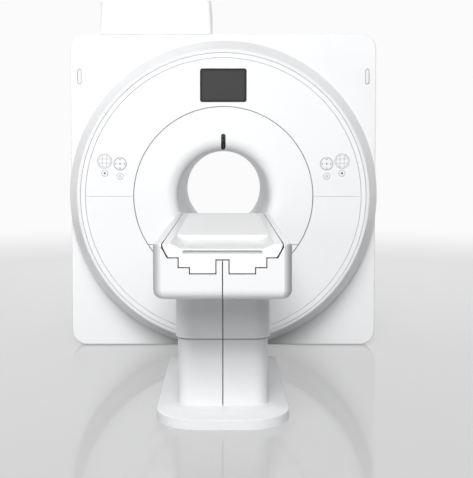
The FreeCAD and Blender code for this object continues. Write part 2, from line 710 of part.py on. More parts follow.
def bell_cover(upper):
    """Flared mouth of the bore, split below the couch's top."""
    bell = turned(bell_profile())
    split = AXIS_HEIGHT - BELL_SPLIT_DROP
    if not upper:
        return keep(bell, z=(-BIG, split - SEAM / 2))
    slot = along_y(slot_corners(), DISC_FRONT - 10, LINER_FRONT)
    return keep(bell, z=(split + SEAM / 2, BIG)).cut(slot)


def slot_windows():
    """Dark windows in the slot, let in by half the wall: camera above, positioning light below."""
    pill = along_y(slot_corners(NEST_GAP), DISC_FRONT - 10, LINER_FRONT)
    lens = turned(bell_profile(DISC_WALL / 2)).common(pill)
    middle = AXIS_HEIGHT + SLOT_RISE
    return Part.makeCompound([keep(lens, z=(middle + 0.2, BIG)), keep(lens, z=(-BIG, middle - 0.2))])


def rear_bell_cover():
    """Flared mouth at the back of the bore."""
    flange = GANTRY_REAR - REAR_BELL_PROUD
    return turned([(REAR_BELL_RADIUS, GANTRY_REAR, 4.0), (BORE_RADIUS, GANTRY_REAR, REAR_MOUTH_RADIUS),
                   (BORE_RADIUS, LINER_REAR), (BORE_RADIUS + DISC_WALL, LINER_REAR),
                   (BORE_RADIUS + DISC_WALL, flange, REAR_MOUTH_RADIUS - REAR_BELL_PROUD),
                   (REAR_BELL_RADIUS, flange)])


def back_plate():
    """Ring plate behind the round covers, held off the vessel by posts."""
    rear = DISC_BACK + BACK_PLATE_THICKNESS
    plate = tube_y(BACK_PLATE_OUTER_RADIUS, BACK_PLATE_INNER_RADIUS, DISC_BACK, rear)
    pieces = [plate]
    for i in range(POST_COUNT):
        angle = 2 * math.pi * (i + 0.5) / POST_COUNT
        x = POST_CIRCLE_RADIUS * math.cos(angle)
        z = AXIS_HEIGHT + POST_CIRCLE_RADIUS * math.sin(angle)
        pieces.append(rod_y(POST_RADIUS, rear - 1, VESSEL_FRONT, x, z))
    frame = fused(pieces)
    display = centred(0, AXIS_HEIGHT + DISPLAY_RISE, DISPLAY_WIDTH + 10, DISPLAY_HEIGHT + 10)
    notch_x = DOCK_HALF_WIDTH + DOCK_GAP
    cuts = [along_y(display, DISC_FRONT, rear + 1),
            box((-notch_x, notch_x), (DISC_FRONT, rear + 1), (DOCK_LOW - DOCK_GAP, DOCK_HIGH + DOCK_GAP))]
    for name, (x, z, radius) in control_places().items():
        for sign in SIDES.values():
            for dx, dz in stem_places(name) if name != "keypad" else []:
                cuts.append(rod_y(STEM_RADIUS + KEY_GAP, DISC_FRONT, rear + 1, sign * x + dx, z + dz))
            if name == "ring_key":
                cuts.append(rod_y(STEM_RADIUS + KEY_GAP, DISC_FRONT, rear + 1, sign * x, z))
    return frame.cut(cuts)


# ---- display ----
def display_case():
    """Dark frame let into the upper cover, in one with the closed box behind the screen."""
    z = AXIS_HEIGHT + DISPLAY_RISE
    width = DISPLAY_WIDTH - 2 * NEST_GAP
    height = DISPLAY_HEIGHT - 2 * NEST_GAP
    inner = DISPLAY_CORNER - DISPLAY_FRAME
    frame = along_y(centred(0, z, width, height, DISPLAY_CORNER - NEST_GAP), DISC_FRONT - 1.5, DISC_BACK + 1)
    rear = along_y(centred(0, z, width + 10, height + 10, 4.0), DISC_BACK, DISC_BACK + DISPLAY_CASE_DEPTH)
    hole = centred(0, z, width - 2 * DISPLAY_FRAME, height - 2 * DISPLAY_FRAME, inner)
    return fused([frame, rear]).cut(along_y(hole, DISC_FRONT - 2, DISC_BACK))


def display_glass():
    """Screen glass inside the frame."""
    width = DISPLAY_WIDTH - 4 * NEST_GAP - 2 * DISPLAY_FRAME
    height = DISPLAY_HEIGHT - 4 * NEST_GAP - 2 * DISPLAY_FRAME
    corner = DISPLAY_CORNER - DISPLAY_FRAME
    return along_y(centred(0, AXIS_HEIGHT + DISPLAY_RISE, width, height, corner), DISC_FRONT, DISC_BACK)


# ---- controls ----
def control_bezels():
    """Thin grey rings round every control."""
    rings = []
    for x, z, radius in control_places().values():
        for sign in SIDES.values():
            rings.append(tube_y(radius + BEZEL_WIDTH, radius, DISC_FRONT - 0.5, DISC_BACK, sign * x, z))
    return Part.makeCompound(rings)


def keypad(side):
    """Round touch keypad, without travel."""
    x, z, radius = control_places()["keypad"]
    return rod_y(radius - NEST_GAP, DISC_FRONT - 1, DISC_BACK, side * x, z)


def soft_cap(radius, x, z):
    """Low round key cap with a softened front edge."""
    cap = rod_y(radius, DISC_FRONT - KEY_PROUD, DISC_FRONT - KEY_PROUD + KEY_BODY, x, z)
    return cap.makeFillet(1.0, edges_on(cap, "y", DISC_FRONT - KEY_PROUD))


def key_stem(x, z):
    """Guide stem behind a key cap."""
    back = DISC_FRONT - KEY_PROUD + KEY_BODY
    return rod_y(STEM_RADIUS, back - 1, back + STEM_LENGTH, x, z)


def round_button(name, side):
    """Small push button with its stem."""
    x, z, radius = control_places()[name]
    x = side * x
    return fused([soft_cap(radius - KEY_GAP, x, z), key_stem(x, z)])


def ring_key(side):
    """Eight-way key ring on three stems."""
    x, z, radius = control_places()["ring_key"]
    x = side * x
    pieces = [soft_cap(radius - KEY_GAP, x, z)]
    for dx, dz in stem_places("ring_key"):
        pieces.append(key_stem(x + dx, z + dz))
    hole = rod_y(CENTRE_KEY_RADIUS + KEY_GAP, -BIG, BIG, x, z)
    ring = fused(pieces).cut(hole)
    front = DISC_FRONT - KEY_PROUD
    grooves = []
    for i in range(4):
        groove = box((-radius, radius), (front, front + 0.8), (-0.7, 0.7))
        groove.rotate(V(0, 0, 0), V(0, 1, 0), 22.5 + 45 * i)
        groove.translate(V(x, 0, z))
        grooves.append(groove)
    return ring.cut(grooves)


def centre_key(side):
    """Round key in the middle of the key ring."""
    x, z, _ = control_places()["ring_key"]
    x = side * x
    return fused([soft_cap(CENTRE_KEY_RADIUS, x, z), key_stem(x, z)])


# ---- patient board ----
def chord(drop):
    """Half-width of the bore at a drop below the couch top, less the board's clearance."""
    reach = BORE_RADIUS - BORE_CLEARANCE
    return math.sqrt(reach ** 2 - (COUCH_DROP + drop) ** 2)


def board_steps(gap=0.0):
    """Right half of the board's stepped underside from the shoulder to the keel slot, grown by gap."""
    upper = chord(UPPER_STEP_DROP) - UPPER_STEP_INSET
    lower = chord(KEEL_DROP) - LOWER_STEP_INSET
    shoulder = COUCH_TOP - SHOULDER_DROP
    ledge = COUCH_TOP - LEDGE_DROP - gap
    step = COUCH_TOP - UPPER_STEP_DROP - gap
    keel = KEEL_Z - gap
    slot = KEEL_SLOT_HALF - gap
    return [(chord(SHOULDER_DROP) + gap, shoulder), (chord(LEDGE_DROP) + gap, ledge, 3.0),
            (upper + gap, ledge, 4.0), (upper + gap, step, 4.0), (lower + gap, step, 4.0),
            (lower + gap, keel, 4.0), (slot, keel, 4.0), (slot, KEEL_Z + KEEL_SLOT_HEIGHT - gap, 4.0)]


def board_section():
    """Whole section of the patient board with its shallow trough."""
    rounding = 3.0
    top = [(TROUGH_HALF_WIDTH, COUCH_TOP - TROUGH_DEPTH, 20.0),
           (TROUGH_TOP_HALF_WIDTH, COUCH_TOP, 20.0),
           (chord(SHOULDER_DROP), COUCH_TOP, rounding)]
    return symmetric(top + board_steps())


def channel_cutter(gap):
    """Everything inside the couch's channel, from end to end and up past the top."""
    above = COUCH_TOP + 50
    half = [(chord(SHOULDER_DROP) + gap, above)] + board_steps(gap)
    return along_y(symmetric(half), COUCH_FRONT - 50, COUCH_REAR + 50)


def patient_board():
    """Long stepped board that carries the patient."""
    return along_y(board_section(), COUCH_FRONT + END_CAP_LENGTH + CAP_GAP, COUCH_REAR)


def board_end_cap():
    """Moulded foot end of the board, with a finger grip under its lip."""
    cap = along_y(board_section(), COUCH_FRONT, COUCH_FRONT + END_CAP_LENGTH)

    def on_top(edge):
        return all(vertex.Z > COUCH_TOP - TROUGH_DEPTH - 1 for vertex in edge.Vertexes)

    cap = cap.makeFillet(CAP_ROUNDING, edges_on(cap, "y", COUCH_FRONT, on_top))
    top = COUCH_TOP - GRIP_DROP
    grip = rectangle((-GRIP_HALF_WIDTH, GRIP_HALF_WIDTH), (top - GRIP_HEIGHT, top), GRIP_HEIGHT * 0.45)
    return cap.cut(along_y(grip, COUCH_FRONT - 1, COUCH_FRONT + GRIP_DEPTH))


def mattress():
    """Thin pad in the trough, crowned across and rounded at both ends."""
    start = COUCH_FRONT + MATTRESS_SETBACK
    length = COUCH_REAR - 20 - start
    low = COUCH_TOP - TROUGH_DEPTH + MATTRESS_GAP
    bottom_half = TROUGH_HALF_WIDTH - MATTRESS_SIDE_GAP / 2
    top_half = TROUGH_TOP_HALF_WIDTH - MATTRESS_SIDE_GAP
    edge = COUCH_TOP - MATTRESS_EDGE_DROP
    left = V(-top_half, start, edge)
    crown = V(0, start, edge + MATTRESS_CROWN)
    right = V(top_half, start, edge)
    low_left = V(-bottom_half, start, low)
    low_right = V(bottom_half, start, low)
    wire = Part.Wire([Part.Arc(left, crown, right).toShape(), Part.LineSegment(right, low_right).toShape(),
                      Part.LineSegment(low_right, low_left).toShape(),
                      Part.LineSegment(low_left, left).toShape()])
    pad = Part.Face(wire).extrude(V(0, length, 0))

    def upper_end(edge):
        return edge.BoundBox.ZMax > COUCH_TOP

    ends = edges_on(pad, "y", start, upper_end) + edges_on(pad, "y", start + length, upper_end)
    return pad.makeFillet(9.0, ends)


def belt_clamp():
    """Tongue under the board that grips the drive belt through the keel's slot."""
    start = COUCH_FRONT + CLAMP_SETBACK
    low = PULLEY_Z + PULLEY_RADIUS + BELT_GAP + BELT_THICKNESS + BELT_GAP
    high = KEEL_Z + KEEL_SLOT_HEIGHT
    return box((-CLAMP_HALF_WIDTH, CLAMP_HALF_WIDTH), (start, start + CLAMP_LENGTH), (low, high))


# ---- couch body ----
def couch_half_width():
    """Outer half-width of the couch: the board, its running gap and the margin."""
    return chord(SHOULDER_DROP) + RUN_GAP + COUCH_MARGIN


def couch_block(inset=0.0):
    """Outer form of the couch, drawn in by inset, with bevelled front corners."""
    half = couch_half_width() - inset
    front = COUCH_FRONT + inset
    rear = COUCH_REAR
    plan = symmetric([(half - COUCH_BEVEL, front), (half, front + COUCH_BEVEL_DEPTH), (half, rear)])
    low = COUCH_BOTTOM + inset
    high = COUCH_TOP - inset
    block = along_z(plan, low, high)

    def not_rear(edge):
        return min(vertex.Y for vertex in edge.Vertexes) < rear - 1

    block = block.makeFillet(COUCH_LOW_ROUNDING - inset, edges_on(block, "z", low, not_rear))
    return block.makeFillet(COUCH_TOP_ROUNDING - inset, edges_on(block, "z", high, not_rear))


def couch_shell():
    """Cover skin of the couch, open along the channel."""
    return couch_block().cut(couch_block(COUCH_WALL)).cut(channel_cutter(RUN_GAP))


def couch_front_cover(shell, side):
    """Left or right half of the front cover, with its half of the centre keel."""
    front = keep(shell, y=(-BIG, COUCH_FRONT + FRONT_COVER_LENGTH))
    return outer_part(front, side, CENTRE_SEAM / 2)


def couch_side_cover(shell, side):
    """Long side cover with the couch's margin and rounded lower edge."""
    lengthways = (COUCH_FRONT + FRONT_COVER_LENGTH + SEAM, COUCH_REAR - END_WALL - SEAM)
    return outer_part(keep(shell, y=lengthways), side, BELLY_HALF_WIDTH + BELLY_SEAM)


def column_plan(grow=0.0):
    """Plan outline of the lower column, grown by grow all round."""
    half = COLUMN_HALF_WIDTH + grow
    front = COLUMN_FRONT - grow
    rear = COLUMN_REAR + grow
    corner = COLUMN_CORNER + grow
    return symmetric([(half, front, corner), (half, rear, corner * 0.5)])


def couch_belly():
    """Underside plate, open round the column that rises into the couch."""
    lengthways = (COUCH_FRONT + FRONT_COVER_LENGTH + SEAM, COUCH_REAR - END_WALL - SEAM)
    plate = box((-BELLY_HALF_WIDTH, BELLY_HALF_WIDTH), lengthways, (COUCH_BOTTOM, COUCH_BOTTOM + COUCH_WALL))
    return plate.cut(along_z(column_plan(SLEEVE_GAP / 2), COUCH_BOTTOM - 1, COUCH_BOTTOM + COUCH_WALL + 1))


def couch_end_cover():
    """Rear end plate, with the channel open through it."""
    block = keep(couch_block(), y=(COUCH_REAR - END_WALL, BIG))
    return block.cut(channel_cutter(RUN_GAP))


def couch_frame():
    """Folded channel on two beams with cross ribs, which carries everything above the lift."""
    start = COUCH_FRONT + COUCH_WALL
    end = COUCH_REAR - END_WALL
    sheet = channel_cutter(RUN_GAP + CHANNEL_WALL).cut(channel_cutter(RUN_GAP))
    sheet = keep(sheet, y=(start, end), z=(-BIG, COUCH_TOP - COUCH_WALL))
    flange_top = CARRIAGE_FLANGE_Z + CARRIAGE_FLANGE
    pieces = [sheet]
    for sign in SIDES.values():
        beam = sorted((sign * BEAM_INNER, sign * BEAM_OUTER))
        pieces.append(box(beam, (start + 60, end - 20), (flange_top, CHANNEL_FLOOR - CHANNEL_WALL + 1)))
        reach = sorted((sign * KEEL_SLOT_HALF, sign * (couch_half_width() - COUCH_WALL)))
        for share in (0.035, 0.27, 0.5, 0.73, 0.96):
            y = start + share * (end - start)
            rib = box(reach, (y, y + 8), (flange_top, COUCH_TOP - COUCH_TOP_ROUNDING))
            pieces.append(rib.cut(channel_cutter(RUN_GAP + CHANNEL_WALL - 1)))
    frame = fused(pieces + idler_fork())
    slot_start = COUCH_FRONT + CLAMP_SETBACK - 10
    slot_end = COUCH_FRONT + CLAMP_SETBACK + CLAMP_LENGTH + CRADLE_TRAVEL + 10
    slot = box((-CLAMP_SLOT_HALF, CLAMP_SLOT_HALF), (slot_start, slot_end), (CHANNEL_FLOOR, COUCH_TOP))
    return frame.cut(slot).common(couch_block(COUCH_WALL))


def runner_strips():
    """Low-friction strips on the channel floor."""
    strips = []
    for sign in SIDES.values():
        reach = sorted((sign * RUNNER_INNER, sign * RUNNER_OUTER))
        strips.append(box(reach, (COUCH_FRONT + 60, COUCH_REAR - 10), (CHANNEL_FLOOR, KEEL_Z - RUNNER_GAP)))
    return Part.makeCompound(strips)


# ---- board drive ----
def pulley(y, bore):
    """Flanged belt pulley on the couch's centre line."""
    half = PULLEY_WIDTH / 2
    wheel = rod_x(PULLEY_RADIUS, -half, half, y, PULLEY_Z)
    flanges = [rod_x(PULLEY_FLANGE_RADIUS, side * half - (PULLEY_FLANGE if side < 0 else 0),
                     side * half + (PULLEY_FLANGE if side > 0 else 0), y, PULLEY_Z) for side in (-1, 1)]
    wheel = fused([wheel] + flanges)
    return wheel.cut(rod_x(bore, -half - 10, half + 10, y, PULLEY_Z)) if bore else wheel


def drive_pulley():
    """Driven pulley with the shaft that runs into the gearbox."""
    half = PULLEY_WIDTH / 2 + PULLEY_FLANGE
    return fused([pulley(DRIVE_Y, 0), rod_x(SHAFT_RADIUS, half - 1, half + 40, DRIVE_Y, PULLEY_Z)])


def idler_pulley():
    """Free pulley at the magnet end."""
    return pulley(IDLER_Y, SHAFT_RADIUS + RUNNING_FIT)


def idler_fork():
    """Axle of the idler and the arms that hold it between the beams."""
    near = PULLEY_WIDTH / 2 + PULLEY_FLANGE + 0.5
    lengthways = (IDLER_Y - 15, IDLER_Y + 15)
    low = PULLEY_Z - 18
    pieces = [rod_x(SHAFT_RADIUS, -near - 5, near + 5, IDLER_Y, PULLEY_Z)]
    for sign in SIDES.values():
        cheek = sorted((sign * near, sign * (near + 6)))
        arm = sorted((sign * near, sign * (BEAM_INNER + 1)))
        pieces.append(box(cheek, lengthways, (low, PULLEY_Z + 15)))
        pieces.append(box(arm, lengthways, (low, low + 6)))
    return pieces


def stadium(radius, half_width):
    """Block with round ends that wraps both pulleys at a radius."""
    low = PULLEY_Z - radius
    pieces = [rod_x(radius, -half_width, half_width, y, PULLEY_Z) for y in (DRIVE_Y, IDLER_Y)]
    pieces.append(box((-half_width, half_width), (DRIVE_Y, IDLER_Y), (low, low + 2 * radius)))
    return fused(pieces)


def drive_belt():
    """Endless belt round the two pulleys."""
    inner = PULLEY_RADIUS + BELT_GAP
    half = BELT_WIDTH / 2
    return stadium(inner + BELT_THICKNESS, half).cut(stadium(inner, half + 1))


def drive_motor():
    """Right-angle gearbox on the pulley's shaft with the motor lying along the couch."""
    start = PULLEY_WIDTH / 2 + PULLEY_FLANGE + 2
    half = GEARBOX_LENGTH / 2
    top = CHANNEL_FLOOR - CHANNEL_WALL - 1
    gearbox = box((start, BEAM_INNER - NEST_GAP), (DRIVE_Y - half, DRIVE_Y + half), (top - 60, top))
    centre = (start + BEAM_INNER) / 2
    motor = rod_y(MOTOR_RADIUS, DRIVE_Y + half - 5, DRIVE_Y + half + MOTOR_LENGTH, centre, top - 55)
    bore = rod_x(SHAFT_RADIUS + RUNNING_FIT, 0, start + 45, DRIVE_Y, PULLEY_Z)
    return fused([gearbox, motor]).cut(bore)


# ---- lift ----
def tube_z(half_x, half_y, wall, z0, z1):
    """Upright square tube on the column's middle."""
    outer = box((-half_x, half_x), (COLUMN_MIDDLE - half_y, COLUMN_MIDDLE + half_y), (z0, z1))
    inner_x = half_x - wall
    inner_y = half_y - wall
    return outer.cut(box((-inner_x, inner_x), (COLUMN_MIDDLE - inner_y, COLUMN_MIDDLE + inner_y), (z0, z1)))


def lift_mast():
    """Fixed steel mast that guides the carriage."""
    return tube_z(MAST_HALF_WIDTH, MAST_HALF_LENGTH, MAST_WALL, BASE_FRAME_THICKNESS, MAST_TOP)


def guide_pads():
    """Plastic pads at the mouth of the mast, one ring of four."""
    half_x = MAST_HALF_WIDTH - MAST_WALL
    half_y = MAST_HALF_LENGTH - MAST_WALL
    ring = tube_z(half_x, half_y, PAD_THICKNESS - PAD_GAP, MAST_TOP - PAD_HEIGHT, MAST_TOP)
    gaps = []
    for sx in (-1, 1):
        for sy in (-1, 1):
            x = sx * half_x
            y = COLUMN_MIDDLE + sy * half_y
            gaps.append(box((x - 40, x + 40), (y - 40, y + 40), (0, MAST_TOP + 1)))
    return ring.cut(gaps)


def lift_carriage():
    """Moving tube inside the mast, with the couch's flange on top and the actuator's rod under it."""
    half_x = MAST_HALF_WIDTH - MAST_WALL - PAD_THICKNESS
    half_y = MAST_HALF_LENGTH - MAST_WALL - PAD_THICKNESS
    tube = tube_z(half_x, half_y, CARRIAGE_WALL, MAST_TOP - PAD_HEIGHT - 10, CARRIAGE_FLANGE_Z)
    reach = (COLUMN_MIDDLE - half_y - 30, COLUMN_MIDDLE + half_y + 30)
    top = CARRIAGE_FLANGE_Z + CARRIAGE_FLANGE
    flange = box((-BEAM_OUTER - 20, BEAM_OUTER + 20), reach, (CARRIAGE_FLANGE_Z, top))
    rod = rod_z(ROD_RADIUS, ROD_FOOT + LIFT_TRAVEL, CARRIAGE_FLANGE_Z + 1, 0, COLUMN_MIDDLE)
    return fused([tube, flange, rod])


def actuator_body():
    """Closed lower half of the electric lift actuator."""
    top = MAST_TOP - 20
    body = rod_z(ACTUATOR_RADIUS, BASE_FRAME_THICKNESS, top, 0, COLUMN_MIDDLE)
    motor = box((ACTUATOR_RADIUS - 5, ACTUATOR_RADIUS + 50), (COLUMN_MIDDLE - 35, COLUMN_MIDDLE + 35),
                (BASE_FRAME_THICKNESS, BASE_FRAME_THICKNESS + ACTUATOR_MOTOR_HEIGHT))
    bore = rod_z(ROD_RADIUS + PAD_GAP, ROD_FOOT - 5, top + 1, 0, COLUMN_MIDDLE)
    return fused([body, motor]).cut(bore)


def shroud_half(plan, inner_plan, z0, z1, side, notch):
    """Half of an upright cover round the pedestal, notched at the back for the docking beam."""
    shell = along_z(plan, z0, z1).cut(along_z(inner_plan, z0 - 1, z1 + 1))
    return outer_part(shell.cut(notch), side, CENTRE_SEAM / 2)


def column_cover(side):
    """Fixed lower shroud."""
    reach = DOCK_HALF_WIDTH + DOCK_GAP
    notch = box((-reach, reach), (COLUMN_MIDDLE, BIG), (DOCK_LOW - DOCK_GAP, DOCK_HIGH + DOCK_GAP))
    return shroud_half(column_plan(), column_plan(-COLUMN_WALL), BASE_TOP, COLUMN_TOP, side, notch)


def lift_sleeve(side):
    """Upper shroud that hangs from the couch and slides down over the column."""
    reach = DOCK_HALF_WIDTH + DOCK_GAP
    notch = box((-reach, reach), (COLUMN_MIDDLE, BIG), (0, DOCK_HIGH + DOCK_GAP + LIFT_TRAVEL))
    return shroud_half(column_plan(SLEEVE_GAP + COLUMN_WALL), column_plan(SLEEVE_GAP), SLEEVE_BOTTOM,
                       COUCH_BOTTOM, side, notch)


# ---- base ----
def base_plan(inset=0.0):
    """Plan outline of the base, drawn in by inset."""
    half = BASE_HALF_WIDTH - inset
    front = BASE_FRONT + inset
    rear = BASE_REAR - inset
    rear_corner = max(BASE_REAR_CORNER - inset, 5.0)
    return symmetric([(half, front, BASE_FRONT_CORNER - inset), (half, rear, rear_corner)])


def base_block(inset=0.0):
    """Rim and shallow dome of the base."""
    def plan_at(inward, z):
        return outline(base_plan(inset + inward), lambda x, y: V(x, y, z))

    rim = BASE_RIM - inset
    body = along_z(base_plan(inset), 0, rim)
    if inset == 0:
        body = body.makeFillet(BASE_EDGE, edges_on(body, "z", rim))
    dome = Part.makeLoft([plan_at(BASE_EDGE, rim), plan_at(BASE_DOME_INSET, BASE_TOP - inset)], True, True)
    return fused([body, dome])


def base_cover():
    """Moulded skirt of the pedestal, open over the frame inside the column."""
    opening = along_z(column_plan(-COLUMN_WALL - 25), -1, BASE_TOP + 1)
    return base_block().cut(base_block(BASE_WALL)).cut(opening)


def base_frame():
    """Steel plate anchored to the floor, with the stand-offs that hold the skirt."""
    plate = along_z(base_plan(BASE_FRAME_INSET), 0, BASE_FRAME_THICKNESS)
    pieces = [plate]
    ledge = COLUMN_HALF_WIDTH - 45
    for sign in SIDES.values():
        reach = sorted((sign * (ledge - 20), sign * (ledge + 25)))
        pieces.append(box(reach, (COLUMN_MIDDLE - BASE_LEDGE_HALF, COLUMN_MIDDLE + BASE_LEDGE_HALF),
                          (BASE_FRAME_THICKNESS - 1, BASE_TOP - BASE_WALL - NEST_GAP)))
    plate = fused(pieces)
    holes = [rod_z(BASE_ANCHOR_RADIUS, -1, BASE_FRAME_THICKNESS + 1, sx * BASE_ANCHOR_X,
                   COLUMN_MIDDLE + sy * BASE_ANCHOR_Y) for sx in (-1, 1) for sy in (-1, 1)]
    return plate.cut(holes)


def docking_beam():
    """Box beam that ties the mast to the magnet under the couch."""
    start = COLUMN_MIDDLE + MAST_HALF_LENGTH
    outer = box((-DOCK_HALF_WIDTH, DOCK_HALF_WIDTH), (start, VESSEL_FRONT), (DOCK_LOW, DOCK_HIGH))
    wall = 6.0
    inner = box((-DOCK_HALF_WIDTH + wall, DOCK_HALF_WIDTH - wall), (start - 1, VESSEL_FRONT + 1),
                (DOCK_LOW + wall, DOCK_HIGH - wall))
    return outer.cut(inner)


def all_pieces():
    """Every node's name and solid."""
    shell = couch_shell()
    pieces = {
        "magnet_vessel": magnet_vessel(),
        "coil_former": coil_former(),
        "main_coils": main_coils(),
        "gradient_coil": gradient_coil(),
        "body_coil": body_coil(),
        "bore_liner": bore_liner(),
        "bore_rails": bore_rails(),
        "magnet_feet": magnet_feet(),
        "cold_head": cold_head(),
        "front_panel": front_panel(),
        "cover_latches": cover_latches(),
        "rear_cover": rear_cover(),
        "side_covers": both_sides(side_cover),
        "top_cover": top_cover(),
        "housing_hoops": housing_hoops(),
        "turret_cover": turret_cover(),
        "rim_ring": rim_ring(),
        "trim_ring": trim_ring(),
        "upper_front_cover": front_cover(True),
        "lower_front_cover": front_cover(False),
        "upper_bell_cover": bell_cover(True),
        "lower_bell_cover": bell_cover(False),
        "slot_windows": slot_windows(),
        "rear_bell_cover": rear_bell_cover(),
        "back_plate": back_plate(),
        "display_case": display_case(),
        "display_glass": display_glass(),
        "control_bezels": control_bezels(),
        "keypads": both_sides(keypad),
        "patient_board": patient_board(),
        "board_end_cap": board_end_cap(),
        "mattress": mattress(),
        "belt_clamp": belt_clamp(),
        "couch_front": both_sides(couch_front_cover, shell),
        "couch_sides": both_sides(couch_side_cover, shell),
        "couch_belly": couch_belly(),
        "couch_end_cover": couch_end_cover(),
        "couch_frame": couch_frame(),
        "runner_strips": runner_strips(),
        "drive_pulley": drive_pulley(),
        "idler_pulley": idler_pulley(),
        "drive_belt": drive_belt(),
        "drive_motor": drive_motor(),
        "lift_sleeve": both_sides(lift_sleeve),
        "column_cover": both_sides(column_cover),
        "lift_mast": lift_mast(),
        "guide_pads": guide_pads(),
        "lift_carriage": lift_carriage(),
        "actuator_body": actuator_body(),
        "base_cover": base_cover(),
        "base_frame": base_frame(),
        "docking_beam": docking_beam(),
    }
    for name, side in SIDES.items():
        pieces[name + "_ring_key"] = ring_key(side)
        pieces[name + "_centre_key"] = centre_key(side)
        pieces[name + "_start_button"] = round_button("start_button", side)
        pieces[name + "_level_button"] = round_button("level_button", side)
    return pieces


def main():
    """Build every piece and write one file for each."""
    os.makedirs("parts", exist_ok=True)
    for name, shape in all_pieces().items():
        shape.exportStep(os.path.join("parts", name + ".step"))
        litres = shape.Volume / 1e6
        print(f"{name}: {len(shape.Solids)} solid(s), {litres:.3f} litres, valid {shape.isValid()}")


main()
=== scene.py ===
"""Looks of the magnetic resonance scanner: painted covers, controls, patient pad and the room around it."""
import json
import math

import bpy
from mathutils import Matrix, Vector


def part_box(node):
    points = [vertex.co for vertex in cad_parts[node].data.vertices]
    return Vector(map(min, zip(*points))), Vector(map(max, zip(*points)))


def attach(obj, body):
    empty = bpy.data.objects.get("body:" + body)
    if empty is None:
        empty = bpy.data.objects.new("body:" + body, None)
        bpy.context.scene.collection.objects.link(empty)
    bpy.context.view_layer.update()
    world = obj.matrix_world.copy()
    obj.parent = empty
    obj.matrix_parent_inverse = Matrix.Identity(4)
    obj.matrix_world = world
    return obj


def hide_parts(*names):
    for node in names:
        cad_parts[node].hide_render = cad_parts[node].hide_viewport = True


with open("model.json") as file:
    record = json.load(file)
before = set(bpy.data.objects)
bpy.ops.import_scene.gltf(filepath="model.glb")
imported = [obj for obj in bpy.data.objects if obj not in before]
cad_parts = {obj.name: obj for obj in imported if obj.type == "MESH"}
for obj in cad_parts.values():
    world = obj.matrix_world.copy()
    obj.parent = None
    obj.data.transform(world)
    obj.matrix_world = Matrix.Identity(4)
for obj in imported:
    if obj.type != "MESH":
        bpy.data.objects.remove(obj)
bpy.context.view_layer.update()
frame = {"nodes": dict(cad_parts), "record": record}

bl_info = {
    "name": "Magnetic Resonance Scanner",
    "version": (1, 0, 0),
    "blender": (4, 5, 0),
    "location": "View3D > Sidebar > Scanner",
    "description": "Dresses the scanner's covers, controls, couch and inner parts, and lights them",
    "category": "Object",
}

# ---------------------------------------------------------------- measures in metres

# Places that the frame gives.
FRONT_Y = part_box("upper_front_cover")[0][1]
AXIS_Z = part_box("bore_liner")[1][2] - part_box("bore_liner")[1][0]
DISPLAY_LOW, DISPLAY_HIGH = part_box("display_glass")
BED_LOW, BED_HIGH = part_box("board_end_cap")
PAD_LOW, PAD_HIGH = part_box("mattress")

# Seams between covers: the colour of the shade painted on their edges, the softness of a sharp edge, half of
# a gap, how far the painted shade reaches past it, and the depth below the front's face where the ring's
# painted shade sets in.
SEAM_SHADE_COLOUR = (0.012, 0.012, 0.013)
SHARP = 0.0001
HALF_SEAM = 0.0015
EDGE_BAND = 0.0009
MOUTH_BAND = 0.0016
SPLIT_BAND = 0.0006
LATCH_BAND = 0.0014
FRONT_SKIN = 0.0002
BELL_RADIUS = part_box("upper_bell_cover")[1][0] + HALF_SEAM
BELL_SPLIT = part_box("lower_bell_cover")[1][2] + HALF_SEAM

# Paints: how much duller the large panels and glossier the board are than the covers, the share of the
# covers' ripple that the moulded board has, and the heights between which the dulled band fades out.
GLOSS_STEP = 0.04
BOARD_RIPPLE = 0.02
DULL_FULL = 0.02
DULL_END = 0.30

# Release latches: end radius of the opening, and the gap round the latch in it.
LATCH_RADIUS = 0.012
LATCH_GAP = 0.0025

# Painted shade along the lower edge of the lifting shroud: its height and the softness of its top.
LIP_HEIGHT = 0.0028
LIP_FADE = 0.0003

# Bevelled front corners of the couch, the share of their diagonal that the relief has as its height,
# and how far a face has to be turned aside and forwards to count as one of the bevels.
CORNER_WIDTH = 0.035
CORNER_DEPTH = 0.030
CORNER_RELIEF = -0.50
TURN_START = 0.15
TURN_FULL = 0.25

# Stepped section of the patient board: drops of its levels below its top, insets of its steps from the
# bore's round, the slot that straddles the couch's tongue, and the gap that it runs with.
SHOULDER_DROP = 0.015
LEDGE_DROP = 0.059
STEP_DROP = 0.102
KEEL_DROP = BED_HIGH[2] - BED_LOW[2]
STEP_INSET = 0.009
KEEL_INSET = 0.025
SLOT_HALF = 0.030
SLOT_HEIGHT = 0.061
RUN_GAP = 0.003

# Trough in the board's top, with sloped sides up to the shoulders.
TROUGH_DEPTH = 0.022
TROUGH_FLOOR = BED_HIGH[2] - TROUGH_DEPTH
TROUGH_HALF = 0.180
SHOULDER_HALF = 0.226

# Finger grip in the board's foot end: its middle below the top, half of its height and width,
# the soft margin of its shade, and where the shade starts and is full behind the end face.
GRIP_MIDDLE = 0.0355
GRIP_RISE = 0.0075
GRIP_HALF = 0.174
GRIP_MARGIN = 0.001
GRIP_SOFT = 0.0005
GRIP_START = 0.0003
GRIP_FULL = 0.006
GRIP_SHADE = 0.25

# Window of the light and the camera. Its levels are shares of its height: where the light's slit fades
# in, is full and ends, where the dark glass ends and the smoked glass starts, and the camera's eye.
WINDOW_LEVELS = (0.10, 0.12, 0.42, 0.47, 0.53, 0.74)
EYE_RADIUS = 0.0075
EYE_RIM_RADIUS = 0.0095
EYE_RIM_HALF = 0.0012
SLIT_HALF = 0.0016
SLIT_SOFT = 0.001

